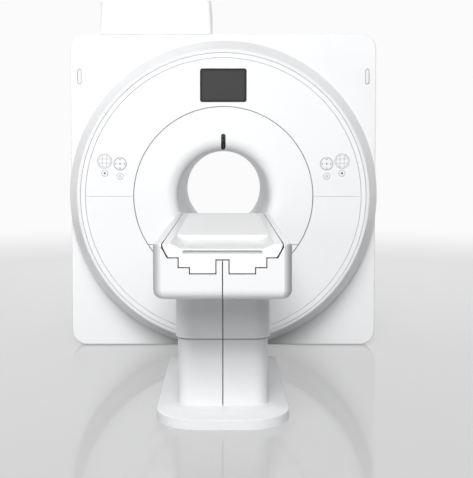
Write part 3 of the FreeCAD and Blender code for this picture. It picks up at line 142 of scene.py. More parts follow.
# Prints on the controls: softness of an edge, strength of a thin line, and largest radius of a dot.
# The lit part of the screen: its inset from the glass's edge, and the softness of its own edge.
PRINT_SOFT = 0.0004
LINE_STRENGTH = 0.75
DOT_LIMIT = 0.0070
SCREEN_INSET = 0.008
SCREEN_SOFT = 0.0006

# Patient pad: height over which its filling sets in above the trough's floor, gap to the trough, share of
# the swelling that goes sideways, and the gathers along its edge with their waves in radians per metre.
PAD_FADE = 0.006
PAD_BED_GAP = 0.0004
SIDE_SWELL = 0.2
GATHER_WAVES = 150.0
GATHER_DRIFT = 2.0
DRIFT_WAVES = 23.0
GATHER_REACH = 0.014
CLOTH_FRAMES = 20
CLOTH_PRESSURE = 4.0

# Pitch of the magnet's windings and of the belt's ribs.
TURN_PITCH = 0.003
RIB_PITCH = 0.005

# Even light of the room, and the softboxes: name, place, target, width and height, watts.
ROOM_COLOUR = (1.0, 1.0, 1.0)
ROOM_LIGHT = 0.10
LAMPS = (
    ("Key Softbox", (-0.9, -13.7, 11.0), (0.0, 0.0, 1.0), (7.5, 5.6), 2020.0),
    ("Low Softbox", (-0.6, -15.7, 7.4), (0.0, 0.0, 1.0), (7.5, 5.6), 900.0),
    ("Top Softbox", (0.0, -2.6, 6.5), (0.0, -0.6, 0.0), (4.0, 3.0), 35.0),
    ("Left Strip", (-3.4, -1.4, 1.8), (-0.9, 0.2, 1.0), (1.2, 1.6), 24.0),
    ("Right Softbox", (7.0, 2.2, 3.0), (0.8, 0.8, 1.0), (3.0, 3.0), 45.0),
    ("Rear Softbox", (0.0, 5.5, 3.5), (0.0, 1.2, 1.0), (4.0, 2.5), 150.0),
)


def middle(node):
    """Centre of a node's box."""
    low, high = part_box(node)
    return (Vector(low) + Vector(high)) / 2


def board_half(drop):
    """Half-width of the board's flanks at a drop below its top, where they follow the bore's round."""
    below_axis = AXIS_Z - BED_HIGH[2]
    reach = math.hypot(BED_HIGH[0], below_axis + SHOULDER_DROP)
    return math.sqrt(reach ** 2 - (below_axis + drop) ** 2)


# ---------------------------------------------------------------- settings

class CoverSettings(bpy.types.PropertyGroup):
    """Colours and texture of the painted covers."""
    cover_colour: bpy.props.FloatVectorProperty(
        name="Cover Colour", description="Paint of the moulded covers", subtype="COLOR", size=3,
        min=0.0, max=1.0, default=(0.80, 0.806, 0.815))
    panel_colour: bpy.props.FloatVectorProperty(
        name="Panel Colour", description="Paint of the large housing panels", subtype="COLOR", size=3,
        min=0.0, max=1.0, default=(0.80, 0.806, 0.812))
    rim_colour: bpy.props.FloatVectorProperty(
        name="Rim Colour", description="Paint of the bevelled rim round the front", subtype="COLOR", size=3,
        min=0.0, max=1.0, default=(0.75, 0.755, 0.765))
    liner_colour: bpy.props.FloatVectorProperty(
        name="Bore Colour", description="Colour of the tube inside the bore", subtype="COLOR", size=3,
        min=0.0, max=1.0, default=(0.70, 0.71, 0.72))
    board_colour: bpy.props.FloatVectorProperty(
        name="Board Colour", description="Colour of the patient board", subtype="COLOR", size=3,
        min=0.0, max=1.0, default=(0.84, 0.843, 0.847))
    gloss: bpy.props.FloatProperty(
        name="Paint Roughness", description="Roughness of the satin paint", subtype="FACTOR",
        min=0.05, max=0.9, default=0.36)
    texture_depth: bpy.props.FloatProperty(
        name="Orange Peel", description="Height of the paint's fine ripple", subtype="DISTANCE",
        unit="LENGTH", min=0.0, max=0.001, default=0.00008, precision=6)


class ControlSettings(bpy.types.PropertyGroup):
    """Colours of the display, the windows and the keys."""
    screen_colour: bpy.props.FloatVectorProperty(
        name="Screen Colour", description="Colour of the dark screen", subtype="COLOR", size=3,
        min=0.0, max=1.0, default=(0.048, 0.048, 0.049))
    frame_colour: bpy.props.FloatVectorProperty(
        name="Screen Frame Colour", description="Colour of the frame round the screen", subtype="COLOR",
        size=3, min=0.0, max=1.0, default=(0.012, 0.012, 0.013))
    key_colour: bpy.props.FloatVectorProperty(
        name="Key Colour", description="Colour of the key caps and keypads", subtype="COLOR", size=3,
        min=0.0, max=1.0, default=(0.80, 0.805, 0.81))
    print_colour: bpy.props.FloatVectorProperty(
        name="Print Colour", description="Colour of the marks printed on the keys", subtype="COLOR", size=3,
        min=0.0, max=1.0, default=(0.10, 0.10, 0.11))
    line_width: bpy.props.FloatProperty(
        name="Line Width", description="Width of a printed line", subtype="DISTANCE", unit="LENGTH",
        min=0.0005, max=0.005, default=0.0022, precision=4)


class PadSettings(bpy.types.PropertyGroup):
    """Size and colour of the patient pad."""
    colour: bpy.props.FloatVectorProperty(
        name="Vinyl Colour", description="Colour of the coated fabric", subtype="COLOR", size=3,
        min=0.0, max=1.0, default=(0.83, 0.834, 0.84))
    voxel: bpy.props.FloatProperty(
        name="Cloth Cell", description="Size of a cell in the pad's cloth", subtype="DISTANCE",
        unit="LENGTH", min=0.003, max=0.02, default=0.006)
    rounding: bpy.props.FloatProperty(
        name="Edge Rounding", description="Rounding of the pad's edges before it is filled",
        subtype="DISTANCE", unit="LENGTH", min=0.001, max=0.02, default=0.006)
    swell: bpy.props.FloatProperty(
        name="Swell", description="Most that the pad's face may puff out", subtype="DISTANCE", unit="LENGTH",
        min=0.0, max=0.02, default=0.004)
    pucker: bpy.props.FloatProperty(
        name="Pucker", description="Height of the gathers along the seam", subtype="DISTANCE", unit="LENGTH",
        min=0.0, max=0.003, default=0.0005, precision=5)
    seam_inset: bpy.props.FloatProperty(
        name="Seam Inset", description="Distance of the welded seam from the pad's edge", subtype="DISTANCE",
        unit="LENGTH", min=0.002, max=0.05, default=0.014)
    seam_width: bpy.props.FloatProperty(
        name="Seam Width", description="Width of the welded seam", subtype="DISTANCE", unit="LENGTH",
        min=0.0005, max=0.01, default=0.0022, precision=4)
    grain: bpy.props.FloatProperty(
        name="Grain Depth", description="Depth of the vinyl's leather-like grain", subtype="DISTANCE",
        unit="LENGTH", min=0.0, max=0.001, default=0.00025, precision=5)


class StageSettings(bpy.types.PropertyGroup):
    """Camera, floor and lights."""
    camera_place: bpy.props.FloatVectorProperty(
        name="Camera", description="Where the camera stands", subtype="TRANSLATION", unit="LENGTH", size=3,
        default=(0.011, -5.737, 1.337))
    camera_pitch: bpy.props.FloatProperty(
        name="Pitch", description="Angle of the camera below the horizon", subtype="ANGLE", unit="ROTATION",
        default=math.radians(2.5))
    focal_pixels: bpy.props.FloatProperty(
        name="Focal Length", description="Focal length in pixels of the photograph", default=900.0)
    frame_width: bpy.props.IntProperty(
        name="Frame Width", description="Width of the photograph's frame in pixels", default=473)
    frame_height: bpy.props.IntProperty(
        name="Frame Height", description="Height of the photograph's frame in pixels", default=478)
    axis_x: bpy.props.FloatProperty(
        name="Axis Across", description="Where the lens axis meets the frame, from the left", default=225.0)
    axis_y: bpy.props.FloatProperty(
        name="Axis Down", description="Where the lens axis meets the frame, from the top", default=192.0)
    backdrop: bpy.props.FloatVectorProperty(
        name="Backdrop", description="Colour behind the machine", subtype="COLOR", size=3,
        min=0.0, max=1.0, default=(0.965, 0.965, 0.965))
    floor_colour: bpy.props.FloatVectorProperty(
        name="Floor Colour", description="Colour of the polished floor", subtype="COLOR", size=3,
        min=0.0, max=1.0, default=(0.34, 0.34, 0.345))
    floor_glow: bpy.props.FloatProperty(
        name="Floor Glow", description="How much of the backdrop's light the near floor shows",
        subtype="FACTOR", min=0.0, max=1.0, default=0.35)
    floor_size: bpy.props.FloatProperty(
        name="Floor Size", description="Side of the floor", subtype="DISTANCE", unit="LENGTH", default=60.0)
    fade_start: bpy.props.FloatProperty(
        name="Fade Start", description="Distance at which the floor begins to turn into the backdrop",
        subtype="DISTANCE", unit="LENGTH", default=2.5)
    fade_end: bpy.props.FloatProperty(
        name="Fade End", description="Distance at which the floor has become the backdrop",
        subtype="DISTANCE", unit="LENGTH", default=11.0)


# ---------------------------------------------------------------- shader fields

class Field:
    """A value over a surface. Arithmetic on it adds Math nodes to its finish."""

    def __init__(self, finish, socket):
        self.finish = finish
        self.socket = socket

    def math(self, operation, *values):
        """Result of a Math node on this field and further values."""
        inputs = dict(enumerate((self, *values)))
        return self.finish.node("ShaderNodeMath", {"operation": operation}, inputs)

    def __add__(self, other):
        return self.math("ADD", other)

    __radd__ = __add__

    def __mul__(self, other):
        return self.math("MULTIPLY", other)

    __rmul__ = __mul__

    def __sub__(self, other):
        return self.math("SUBTRACT", other)

    def __rsub__(self, other):
        return self.finish.node("ShaderNodeMath", {"operation": "SUBTRACT"}, {0: other, 1: self})

    def __abs__(self):
        return self.math("ABSOLUTE")

    def root(self):
        """Square root."""
        return self.math("SQRT")

    def larger(self, other):
        """The larger of two values."""
        return self.math("MAXIMUM", other)

    def smaller(self, other):
        """The smaller of two values."""
        return self.math("MINIMUM", other)

    def step(self, low, high):
        """0 below low, 1 above high, smooth between."""
        return self.finish.node("ShaderNodeMapRange", {"interpolation_type": "SMOOTHSTEP"},
                                {"Value": self, "From Min": low, "From Max": high})

    def inside(self, limit, soft):
        """1 where the value is under limit, 0 where it is over."""
        return 1 - self.step(limit - soft, limit + soft)

    def ribs(self, pitch):
        """Waves between 0 and 1, one for each pitch of the value."""
        return ((self * (2 * math.pi / pitch)).math("SINE") + 1) * 0.5


class Finish:
    """A procedural material with one Principled shader."""

    def __init__(self, name, **values):
        self.material = bpy.data.materials.new(name)
        self.material.use_nodes = True
        self.tree = self.material.node_tree
        self.tree.nodes.clear()
        self.output = self.tree.nodes.new("ShaderNodeOutputMaterial")
        self.shader = self.tree.nodes.new("ShaderNodeBsdfPrincipled")
        self.tree.links.new(self.shader.outputs[0], self.output.inputs[0])
        self.place = self.node("ShaderNodeTexCoord", output="Object")
        self.set(**values)

    def node(self, kind, settings=None, inputs=None, output=0):
        """Adds a node: its settings first, then the values or links of its sockets."""
        node = self.tree.nodes.new(kind)
        for name, value in (settings or {}).items():
            setattr(node, name, value)
        for name, value in (inputs or {}).items():
            self.feed(node.inputs[name], value)
        return Field(self, node.outputs[output])

    def feed(self, socket, value):
        """Links a field to a socket, or writes a plain value on it."""
        if isinstance(value, Field):
            self.tree.links.new(value.socket, socket)
        elif socket.type == "RGBA" and len(value) == 3:
            socket.default_value = (*value, 1.0)
        else:
            socket.default_value = value

    def set(self, **values):
        """Sets the Principled shader's sockets, named with underscores."""
        for name, value in values.items():
            self.feed(self.shader.inputs[name.replace("_", " ")], value)
        return self

    def parts(self, vector):
        """The three parts of a vector as fields."""
        outputs = self.node("ShaderNodeSeparateXYZ", inputs={0: vector}).socket.node.outputs
        return [Field(self, outputs[i]) for i in range(3)]

    def axes(self):
        """The three object coordinates as fields."""
        return self.parts(self.place)

    def directions(self):
        """The three parts of each face's own direction as fields."""
        return self.parts(self.node("ShaderNodeNewGeometry", output="True Normal"))

    def scaled(self, x, y, z):
        """Object coordinates stretched along the axes."""
        return self.node("ShaderNodeMapping", inputs={"Vector": self.place, "Scale": (x, y, z)})

    def noise(self, scale, detail=3.0, roughness=0.55, place=None):
        """Fractal noise from 0 to 1."""
        return self.node("ShaderNodeTexNoise", inputs={
            "Vector": place or self.place, "Scale": scale, "Detail": detail, "Roughness": roughness})

    def cells(self, scale, feature="F1"):
        """Distance to the nearest point of a cell pattern."""
        return self.node("ShaderNodeTexVoronoi", {"feature": feature},
                         {"Vector": self.place, "Scale": scale}, "Distance")

    def mix(self, amount, first, second):
        """Colour between first and second."""
        node = self.tree.nodes.new("ShaderNodeMix")
        node.data_type = "RGBA"
        colours = [socket for socket in node.inputs if socket.type == "RGBA"]
        self.feed(node.inputs[0], amount)
        self.feed(colours[0], first)
        self.feed(colours[1], second)
        return Field(self, next(socket for socket in node.outputs if socket.type == "RGBA"))

    def bump(self, height, distance, strength=1.0):
        """Raises the surface by a height field."""
        normal = self.node("ShaderNodeBump", inputs={
            "Strength": strength, "Distance": distance, "Height": height})
        return self.set(Normal=normal)


def shade(colour, factor):
    """Colour made lighter or darker by a factor."""
    return tuple(min(1.0, channel * factor) for channel in colour)


def seen_rays(tree):
    """Socket that is 1 for rays from the camera and from reflections, 0 for all others."""
    rays = tree.nodes.new("ShaderNodeLightPath")
    seen = tree.nodes.new("ShaderNodeMath")
    seen.operation = "MAXIMUM"
    tree.links.new(rays.outputs["Is Camera Ray"], seen.inputs[0])
    tree.links.new(rays.outputs["Is Glossy Ray"], seen.inputs[1])
    return seen.outputs[0]


# ---------------------------------------------------------------- finishes

def bell_seam_shade(finish):
    """1 where shade is painted on the edges that face each other across the gaps of the flared mouth."""
    x, y, z = finish.axes()
    up = z - AXIS_Z
    radius = (x * x + up * up).root()
    behind = y.step(FRONT_Y + FRONT_SKIN, FRONT_Y + 2 * FRONT_SKIN)
    ring = abs(radius - BELL_RADIUS).inside(HALF_SEAM + MOUTH_BAND, SHARP) * behind
    on_mouth = radius.inside(BELL_RADIUS - HALF_SEAM, 2 * SHARP)
    split = abs(z - BELL_SPLIT).inside(HALF_SEAM + SPLIT_BAND, SHARP) * on_mouth
    return ring.larger(split)


def latch_seam_shade(finish):
    """1 where shade is painted on the front panel's edge round each release latch."""
    x, _, z = finish.axes()
    low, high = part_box("cover_latches")
    radius = LATCH_RADIUS - LATCH_GAP
    along = (abs(z - (low[2] + high[2]) / 2) - ((high[2] - low[2]) / 2 - radius)).larger(0.0)
    across = abs(x) - (high[0] - radius)
    outline = (along * along + across * across).root() - LATCH_RADIUS
    return abs(outline).inside(LATCH_BAND, 2 * SHARP)


def corner_relief(finish):
    """Height that turns the bevelled front corners' shading on towards the sides."""
    x, _, _ = finish.axes()
    turned, facing, _ = finish.directions()
    around = (abs(x) - (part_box("couch_front")[1][0] - CORNER_WIDTH)) * (1 / CORNER_WIDTH)
    around = around.larger(0.0).smaller(1.0)
    bevel = abs(turned).step(TURN_START, TURN_FULL) * (1 - facing.step(-TURN_FULL, -TURN_START))
    return around * around * bevel * (math.hypot(CORNER_WIDTH, CORNER_DEPTH) * CORNER_RELIEF)


def channel_area(finish, slack):
    """1 within the stepped channel that the board runs in, widened by slack."""
    x, _, z = finish.axes()
    shoulder = BED_HIGH[2] - SHOULDER_DROP - slack
    ledge, step, keel = (BED_HIGH[2] - drop - RUN_GAP - slack for drop in (LEDGE_DROP, STEP_DROP, KEEL_DROP))
    high_flank = board_half(SHOULDER_DROP) + RUN_GAP
    low_flank = board_half(LEDGE_DROP) + RUN_GAP
    upper = board_half(STEP_DROP) - STEP_INSET + RUN_GAP
    lower = board_half(KEEL_DROP) - KEEL_INSET + RUN_GAP
    slope = (high_flank - low_flank) / (shoulder - ledge)
    flank = ((z - ledge) * slope + low_flank).smaller(high_flank)
    over_step = z.step(step - SHARP, step)
    over_ledge = z.step(ledge - SHARP, ledge)
    width = (over_step * (upper - lower) + lower) * (1 - over_ledge) + flank * over_ledge
    inside = (abs(x) - width).inside(slack, SHARP) * z.step(keel - SHARP, keel)
    tongue_top = BED_LOW[2] + SLOT_HEIGHT - RUN_GAP - slack
    tongue = abs(x).inside(SLOT_HALF - RUN_GAP - slack, SHARP) * z.inside(tongue_top, SHARP)
    return inside * (1 - tongue)


def centre_seam_shade(finish):
    """1 where shade is painted on the edges where left and right halves of a cover meet."""
    return abs(finish.axes()[0]).inside(HALF_SEAM + EDGE_BAND, SHARP)


def channel_seam_shade(finish):
    """1 where shade is painted on the couch's edges round the channel and at its centre."""
    return channel_area(finish, EDGE_BAND).larger(centre_seam_shade(finish))


def sleeve_seam_shade(finish):
    """1 where shade is painted: on the shroud's centre edges and in a band along its lower edge."""
    lip_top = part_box("lift_sleeve")[0][2] + LIP_HEIGHT
    lip = 1 - finish.axes()[2].step(lip_top, lip_top + LIP_FADE)
    return lip.larger(centre_seam_shade(finish))


def board_seam_shade(finish):
    """1 where shade is painted: on the edges of the board's foot end that face the channel, and partly
    inside the finger grip.
    """
    x, y, z = finish.axes()
    above = z - (BED_HIGH[2] - GRIP_MIDDLE)
    across = abs(x).inside(GRIP_HALF + GRIP_MARGIN, GRIP_SOFT)
    grip = across * abs(above).inside(GRIP_RISE + GRIP_MARGIN, GRIP_SOFT)
    grip = grip * y.step(BED_LOW[1] + GRIP_START, BED_LOW[1] + GRIP_FULL) * GRIP_SHADE
    return (1 - channel_area(finish, -RUN_GAP - EDGE_BAND)).larger(grip)


def satin_paint(name, colour, roughness, peel, grime=0.04, edge_shade=None, relief=None):
    """Satin paint with a fine ripple, faint clouding and a dulled band near the floor.

    edge_shade gives the edges on which shade is painted, and relief a height that is added to the ripple.
    """
    finish = Finish(name, Coat_Weight=0.25, Coat_Roughness=0.12, IOR=1.48)
    cloud = finish.noise(1.3, 4.0)
    rub = finish.noise(38.0, 5.0, 0.7)
    low_band = 1 - finish.axes()[2].step(DULL_FULL, DULL_END)
    dull = (cloud - 0.5) * 0.03 + low_band * rub * grime
    shown = finish.mix(dull.larger(0.0), colour, shade(colour, 0.6))
    if edge_shade:
        # Shade painted on the edges along the gaps between covers, where the gaps fall dark.
        shown = finish.mix(edge_shade(finish), shown, SEAM_SHADE_COLOUR)
    finish.set(Base_Color=shown, Roughness=(rub - 0.5) * 0.10 + cloud * 0.06 + (roughness - 0.03))
    ripple = finish.noise(240.0, 2.0, 0.4) * (peel * 0.35)
    return finish.bump(ripple + relief(finish) if relief else ripple, 1.0)


def moulded_plastic(name, colour, roughness):
    """Spark-textured moulded plastic."""
    finish = Finish(name, IOR=1.5)
    spark = finish.noise(900.0, 2.0, 0.6)
    cloud = finish.noise(9.0, 3.0)
    finish.set(Base_Color=finish.mix(cloud * 0.25, colour, shade(colour, 0.88)),
               Roughness=spark * 0.12 + (roughness - 0.06))
    return finish.bump(spark, 0.0001, 0.4)


def brushed_metal(name, colour, stretch, roughness=0.32):
    """Metal with fine lines along one direction."""
    finish = Finish(name, Metallic=1.0)
    lines = finish.noise(60.0, 6.0, 0.7, finish.scaled(*stretch))
    stain = finish.noise(4.0, 4.0)
    finish.set(Base_Color=finish.mix(lines * 0.5, colour, shade(colour, 0.78)),
               Roughness=lines * 0.16 + stain * 0.08 + (roughness - 0.12))
    return finish.bump(lines, 0.0001, 0.25)


def machine_paint(name, colour, roughness=0.5):
    """Powder coat on steel with slightly dusty patches."""
    finish = Finish(name, IOR=1.5)
    peel = finish.noise(420.0, 2.0)
    dust = finish.noise(7.0, 5.0, 0.65).step(0.5, 0.8)
    finish.set(Base_Color=finish.mix(dust * 0.35, colour, (0.42, 0.41, 0.40)),
               Roughness=dust * 0.2 + peel * 0.08 + (roughness - 0.05))
    return finish.bump(peel, 0.0002, 0.5)


def nodes_of(slot):
    """Names of the CAD nodes that take one material slot."""
    return [part["node"] for part in frame["record"]["subparts"] if part["material_slot"] == slot]


def paint(finish, *names):
    """Gives a finish to CAD nodes."""
    for name in names:
        mesh = frame["nodes"][name].data
        mesh.materials.clear()
        mesh.materials.append(finish.material)


# ---------------------------------------------------------------- modelling helpers

def start_fresh():
    """Leaves edit mode and deselects everything."""
    if bpy.context.object and bpy.context.object.mode != "OBJECT":
        bpy.ops.object.mode_set(mode="OBJECT")
    bpy.ops.object.select_all(action="DESELECT")


def settle(piece, name, body, finish):
    """Puts a new piece's place in its mesh, names it and fixes it to a body."""
    start_fresh()
    bpy.context.view_layer.objects.active = piece
    piece.select_set(True)
    bpy.ops.object.transform_apply(location=True, rotation=True, scale=True)
    piece.name = name
    piece.data.materials.clear()
    piece.data.materials.append(finish.material)
    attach(piece, body)
    start_fresh()
    return piece


# ---------------------------------------------------------------- operators

class SCANNER_OT_covers(bpy.types.Operator):
    """Paint the housing, the round front, the couch and the bore."""
    bl_idname = "scanner.covers"
    bl_label = "Covers"

    def execute(self, context):
        """Paints whole slots first, then the pieces in them that have a paint of their own."""
        settings = context.scene.scanner_covers
        gloss = settings.gloss
        peel = settings.texture_depth
        cover = (settings.cover_colour, gloss, peel)
        panel = (settings.panel_colour, gloss + GLOSS_STEP, peel)
        board = (settings.board_colour, gloss - GLOSS_STEP, peel * BOARD_RIPPLE, 0.0)
        paint(satin_paint("Cover Paint", *cover), *nodes_of("cover_white"))
        paint(satin_paint("Rim Paint", settings.rim_colour, gloss, peel), "rim_ring")
        # The pieces below have shade painted on the edges along their gaps, where the gaps fall dark.
        paint(satin_paint("Mouth Paint", *cover, edge_shade=bell_seam_shade),
              "upper_bell_cover", "lower_bell_cover", "upper_front_cover", "lower_front_cover")
        paint(satin_paint("Couch Front Paint", *cover, edge_shade=channel_seam_shade, relief=corner_relief),
              "couch_front")
        paint(satin_paint("Shroud Paint", *cover, edge_shade=sleeve_seam_shade), "lift_sleeve")
        paint(satin_paint("Column Paint", *cover, edge_shade=centre_seam_shade), "column_cover")
        paint(satin_paint("Panel Paint", *panel), *nodes_of("panel_white"))
        paint(satin_paint("Front Panel Paint", *panel, edge_shade=latch_seam_shade), "front_panel")
        paint(satin_paint("Board Gelcoat", *board), *nodes_of("board_white"))
        paint(satin_paint("Foot End Gelcoat", *board, edge_shade=board_seam_shade), "board_end_cap")
        paint(self.liner(settings), *nodes_of("liner_white"))
        return {"FINISHED"}

    def liner(self, settings):
        """Wiped smooth tube with faint marks along the patient's path."""
        finish = Finish("Bore Liner", IOR=1.47, Coat_Weight=0.1)
        streaks = finish.noise(14.0, 5.0, 0.6, finish.scaled(1.0, 0.15, 1.0))
        wiped = shade(settings.liner_colour, 0.93)
        finish.set(Base_Color=finish.mix(streaks * 0.3, settings.liner_colour, wiped),
                   Roughness=streaks * 0.14 + 0.30)
        return finish.bump(finish.noise(150.0, 2.0), 0.00006, 0.3)


class SCANNER_OT_front_details(bpy.types.Operator):
    """Finish the display, the camera and light windows, the latches and the control rings."""
    bl_idname = "scanner.front_details"
    bl_label = "Display and Windows"

    def execute(self, context):
        """Finishes every small fixed piece of the front."""
        settings = context.scene.scanner_controls
        paint(moulded_plastic("Display Frame", settings.frame_colour, 0.4), *nodes_of("display_grey"))
        paint(self.screen(settings), *nodes_of("display_screen"))
        paint(self.windows(), *nodes_of("slot_dark"))
        paint(moulded_plastic("Grey Trim", (0.30, 0.30, 0.31), 0.42), "control_bezels")
        paint(moulded_plastic("Latch Inlay", (0.78, 0.785, 0.79), 0.42), "cover_latches")
        return {"FINISHED"}

    def screen(self, settings):
        """Anti-glare glass over a dark panel, a little lighter where the panel is lit."""
        finish = Finish("Screen Glass", IOR=1.3)
        x, _, z = finish.axes()
        centre = middle("display_glass")
        half = (Vector(DISPLAY_HIGH) - Vector(DISPLAY_LOW)) / 2
        lit = (abs(x - centre.x).inside(half.x - SCREEN_INSET, SCREEN_SOFT)
               * abs(z - centre.z).inside(half.z - SCREEN_INSET, SCREEN_SOFT))
        smear = finish.noise(11.0, 5.0, 0.6)
        finish.set(Base_Color=finish.mix(lit, shade(settings.screen_colour, 0.6), settings.screen_colour),
                   Roughness=smear * 0.10 + 0.30)
        return finish.bump(finish.noise(1400.0, 1.0), 0.00003, 0.3)

    def windows(self):
        """Smoked window: a camera eye above, the positioning light's slit below."""
        finish = Finish("Smoked Window", IOR=1.35)
        low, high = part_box("slot_windows")
        x, _, z = finish.axes()
        span = high[2] - low[2]
        slit_start, slit_full, slit_end, dark_end, smoked_start, eye_level = (
            low[2] + span * share for share in WINDOW_LEVELS)
        across = abs(x - (low[0] + high[0]) / 2)
        above = z - eye_level
        from_eye = (across * across + above * above).root()
        eye = from_eye.inside(EYE_RADIUS, PRINT_SOFT)
        rim = abs(from_eye - EYE_RIM_RADIUS).inside(EYE_RIM_HALF, PRINT_SOFT)
        along_slit = z.inside(slit_end, SLIT_SOFT) * z.step(slit_start, slit_full)
        slit = across.inside(SLIT_HALF, PRINT_SOFT) * along_slit
        glass = finish.mix(z.step(dark_end, smoked_start), (0.008, 0.008, 0.009), (0.028, 0.028, 0.030))
        marked = finish.mix(rim.larger(slit), glass, (0.075, 0.075, 0.08))
        finish.set(Base_Color=finish.mix(eye, marked, (0.004, 0.004, 0.006)),
                   Roughness=finish.noise(30.0, 3.0) * 0.08 + 0.10)
        return finish


class SCANNER_OT_controls(bpy.types.Operator):
    """Print the marks on the keypads, key rings and buttons."""
    bl_idname = "scanner.controls"
    bl_label = "Controls"

    def execute(self, context):
        """Finishes every control on both sides."""
        settings = context.scene.scanner_controls
        width = settings.line_width
        for kind, nodes, marks in (
                ("Keypad", ("keypads",), self.keypad_marks),
                ("Key Ring", ("right_ring_key", "left_ring_key"), self.ring_marks),
                ("Centre Key", ("right_centre_key", "left_centre_key"), self.dot_marks),
                ("Start Button", ("right_start_button", "left_start_button"), self.dot_marks),
                ("Level Button", ("right_level_button", "left_level_button"), self.bar_marks)):
            centre, radius = self.disc(nodes[0])
            finish = Finish(kind, IOR=1.5)
            x, _, z = finish.axes()
            across = abs(x) - centre.x
            up = z - centre.z
            mark = marks(across, up, (across * across + up * up).root(), radius, width)
            wear = finish.noise(60.0, 4.0)
            colour = finish.mix(wear * 0.15, settings.key_colour, shade(settings.key_colour, 0.9))
            finish.set(Base_Color=finish.mix(mark, colour, settings.print_colour),
                       Roughness=wear * 0.1 + 0.36)
            finish.bump(finish.noise(700.0, 2.0), 0.00008, 0.35)
            paint(finish, *nodes)
        return {"FINISHED"}

    def disc(self, node):
        """Centre and radius of the round control at the right-hand end of a node's box."""
        low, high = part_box(node)
        radius = (high[2] - low[2]) / 2
        return Vector((high[0] - radius, 0.0, (low[2] + high[2]) / 2)), radius

    def keypad_marks(self, across, up, distance, radius, width):
        """Nine cells inside a ring."""
        edge = radius * 0.86
        third = radius * 0.30
        ring = abs(distance - edge).inside(width / 2, PRINT_SOFT)
        columns = abs(abs(across) - third).inside(width / 2, PRINT_SOFT)
        rows = abs(abs(up) - third).inside(width / 2, PRINT_SOFT)
        cells = columns.larger(rows) * distance.inside(edge, PRINT_SOFT)
        return cells.larger(ring) * LINE_STRENGTH

    def ring_marks(self, across, up, distance, radius, width):
        """A ring near the edge, and a small block towards each of the four sides."""
        edge = radius * 0.93
        block_start = radius * 0.62
        block_length = radius * 0.16
        block_half = radius * 0.14
        ring = abs(distance - edge).inside(width / 2, PRINT_SOFT)
        reach = abs(across).larger(abs(up)) - block_start
        side = abs(across).smaller(abs(up))
        block = reach.inside(block_length, PRINT_SOFT) * side.inside(block_half, PRINT_SOFT)
        block = block * reach.step(-PRINT_SOFT, PRINT_SOFT)
        return ring.larger(block) * LINE_STRENGTH

    def dot_marks(self, across, up, distance, radius, width):
        """Round dot in the middle."""
        return distance.inside(min(radius * 0.42, DOT_LIMIT), PRINT_SOFT)

    def bar_marks(self, across, up, distance, radius, width):
        """Three level bars."""
        pitch = radius * 0.34
        bar_half = radius * 0.42
        outer = abs(abs(up) - pitch).inside(width / 2, PRINT_SOFT)
        bars = abs(up).inside(width / 2, PRINT_SOFT).larger(outer)
        return bars * abs(across).inside(bar_half, PRINT_SOFT)


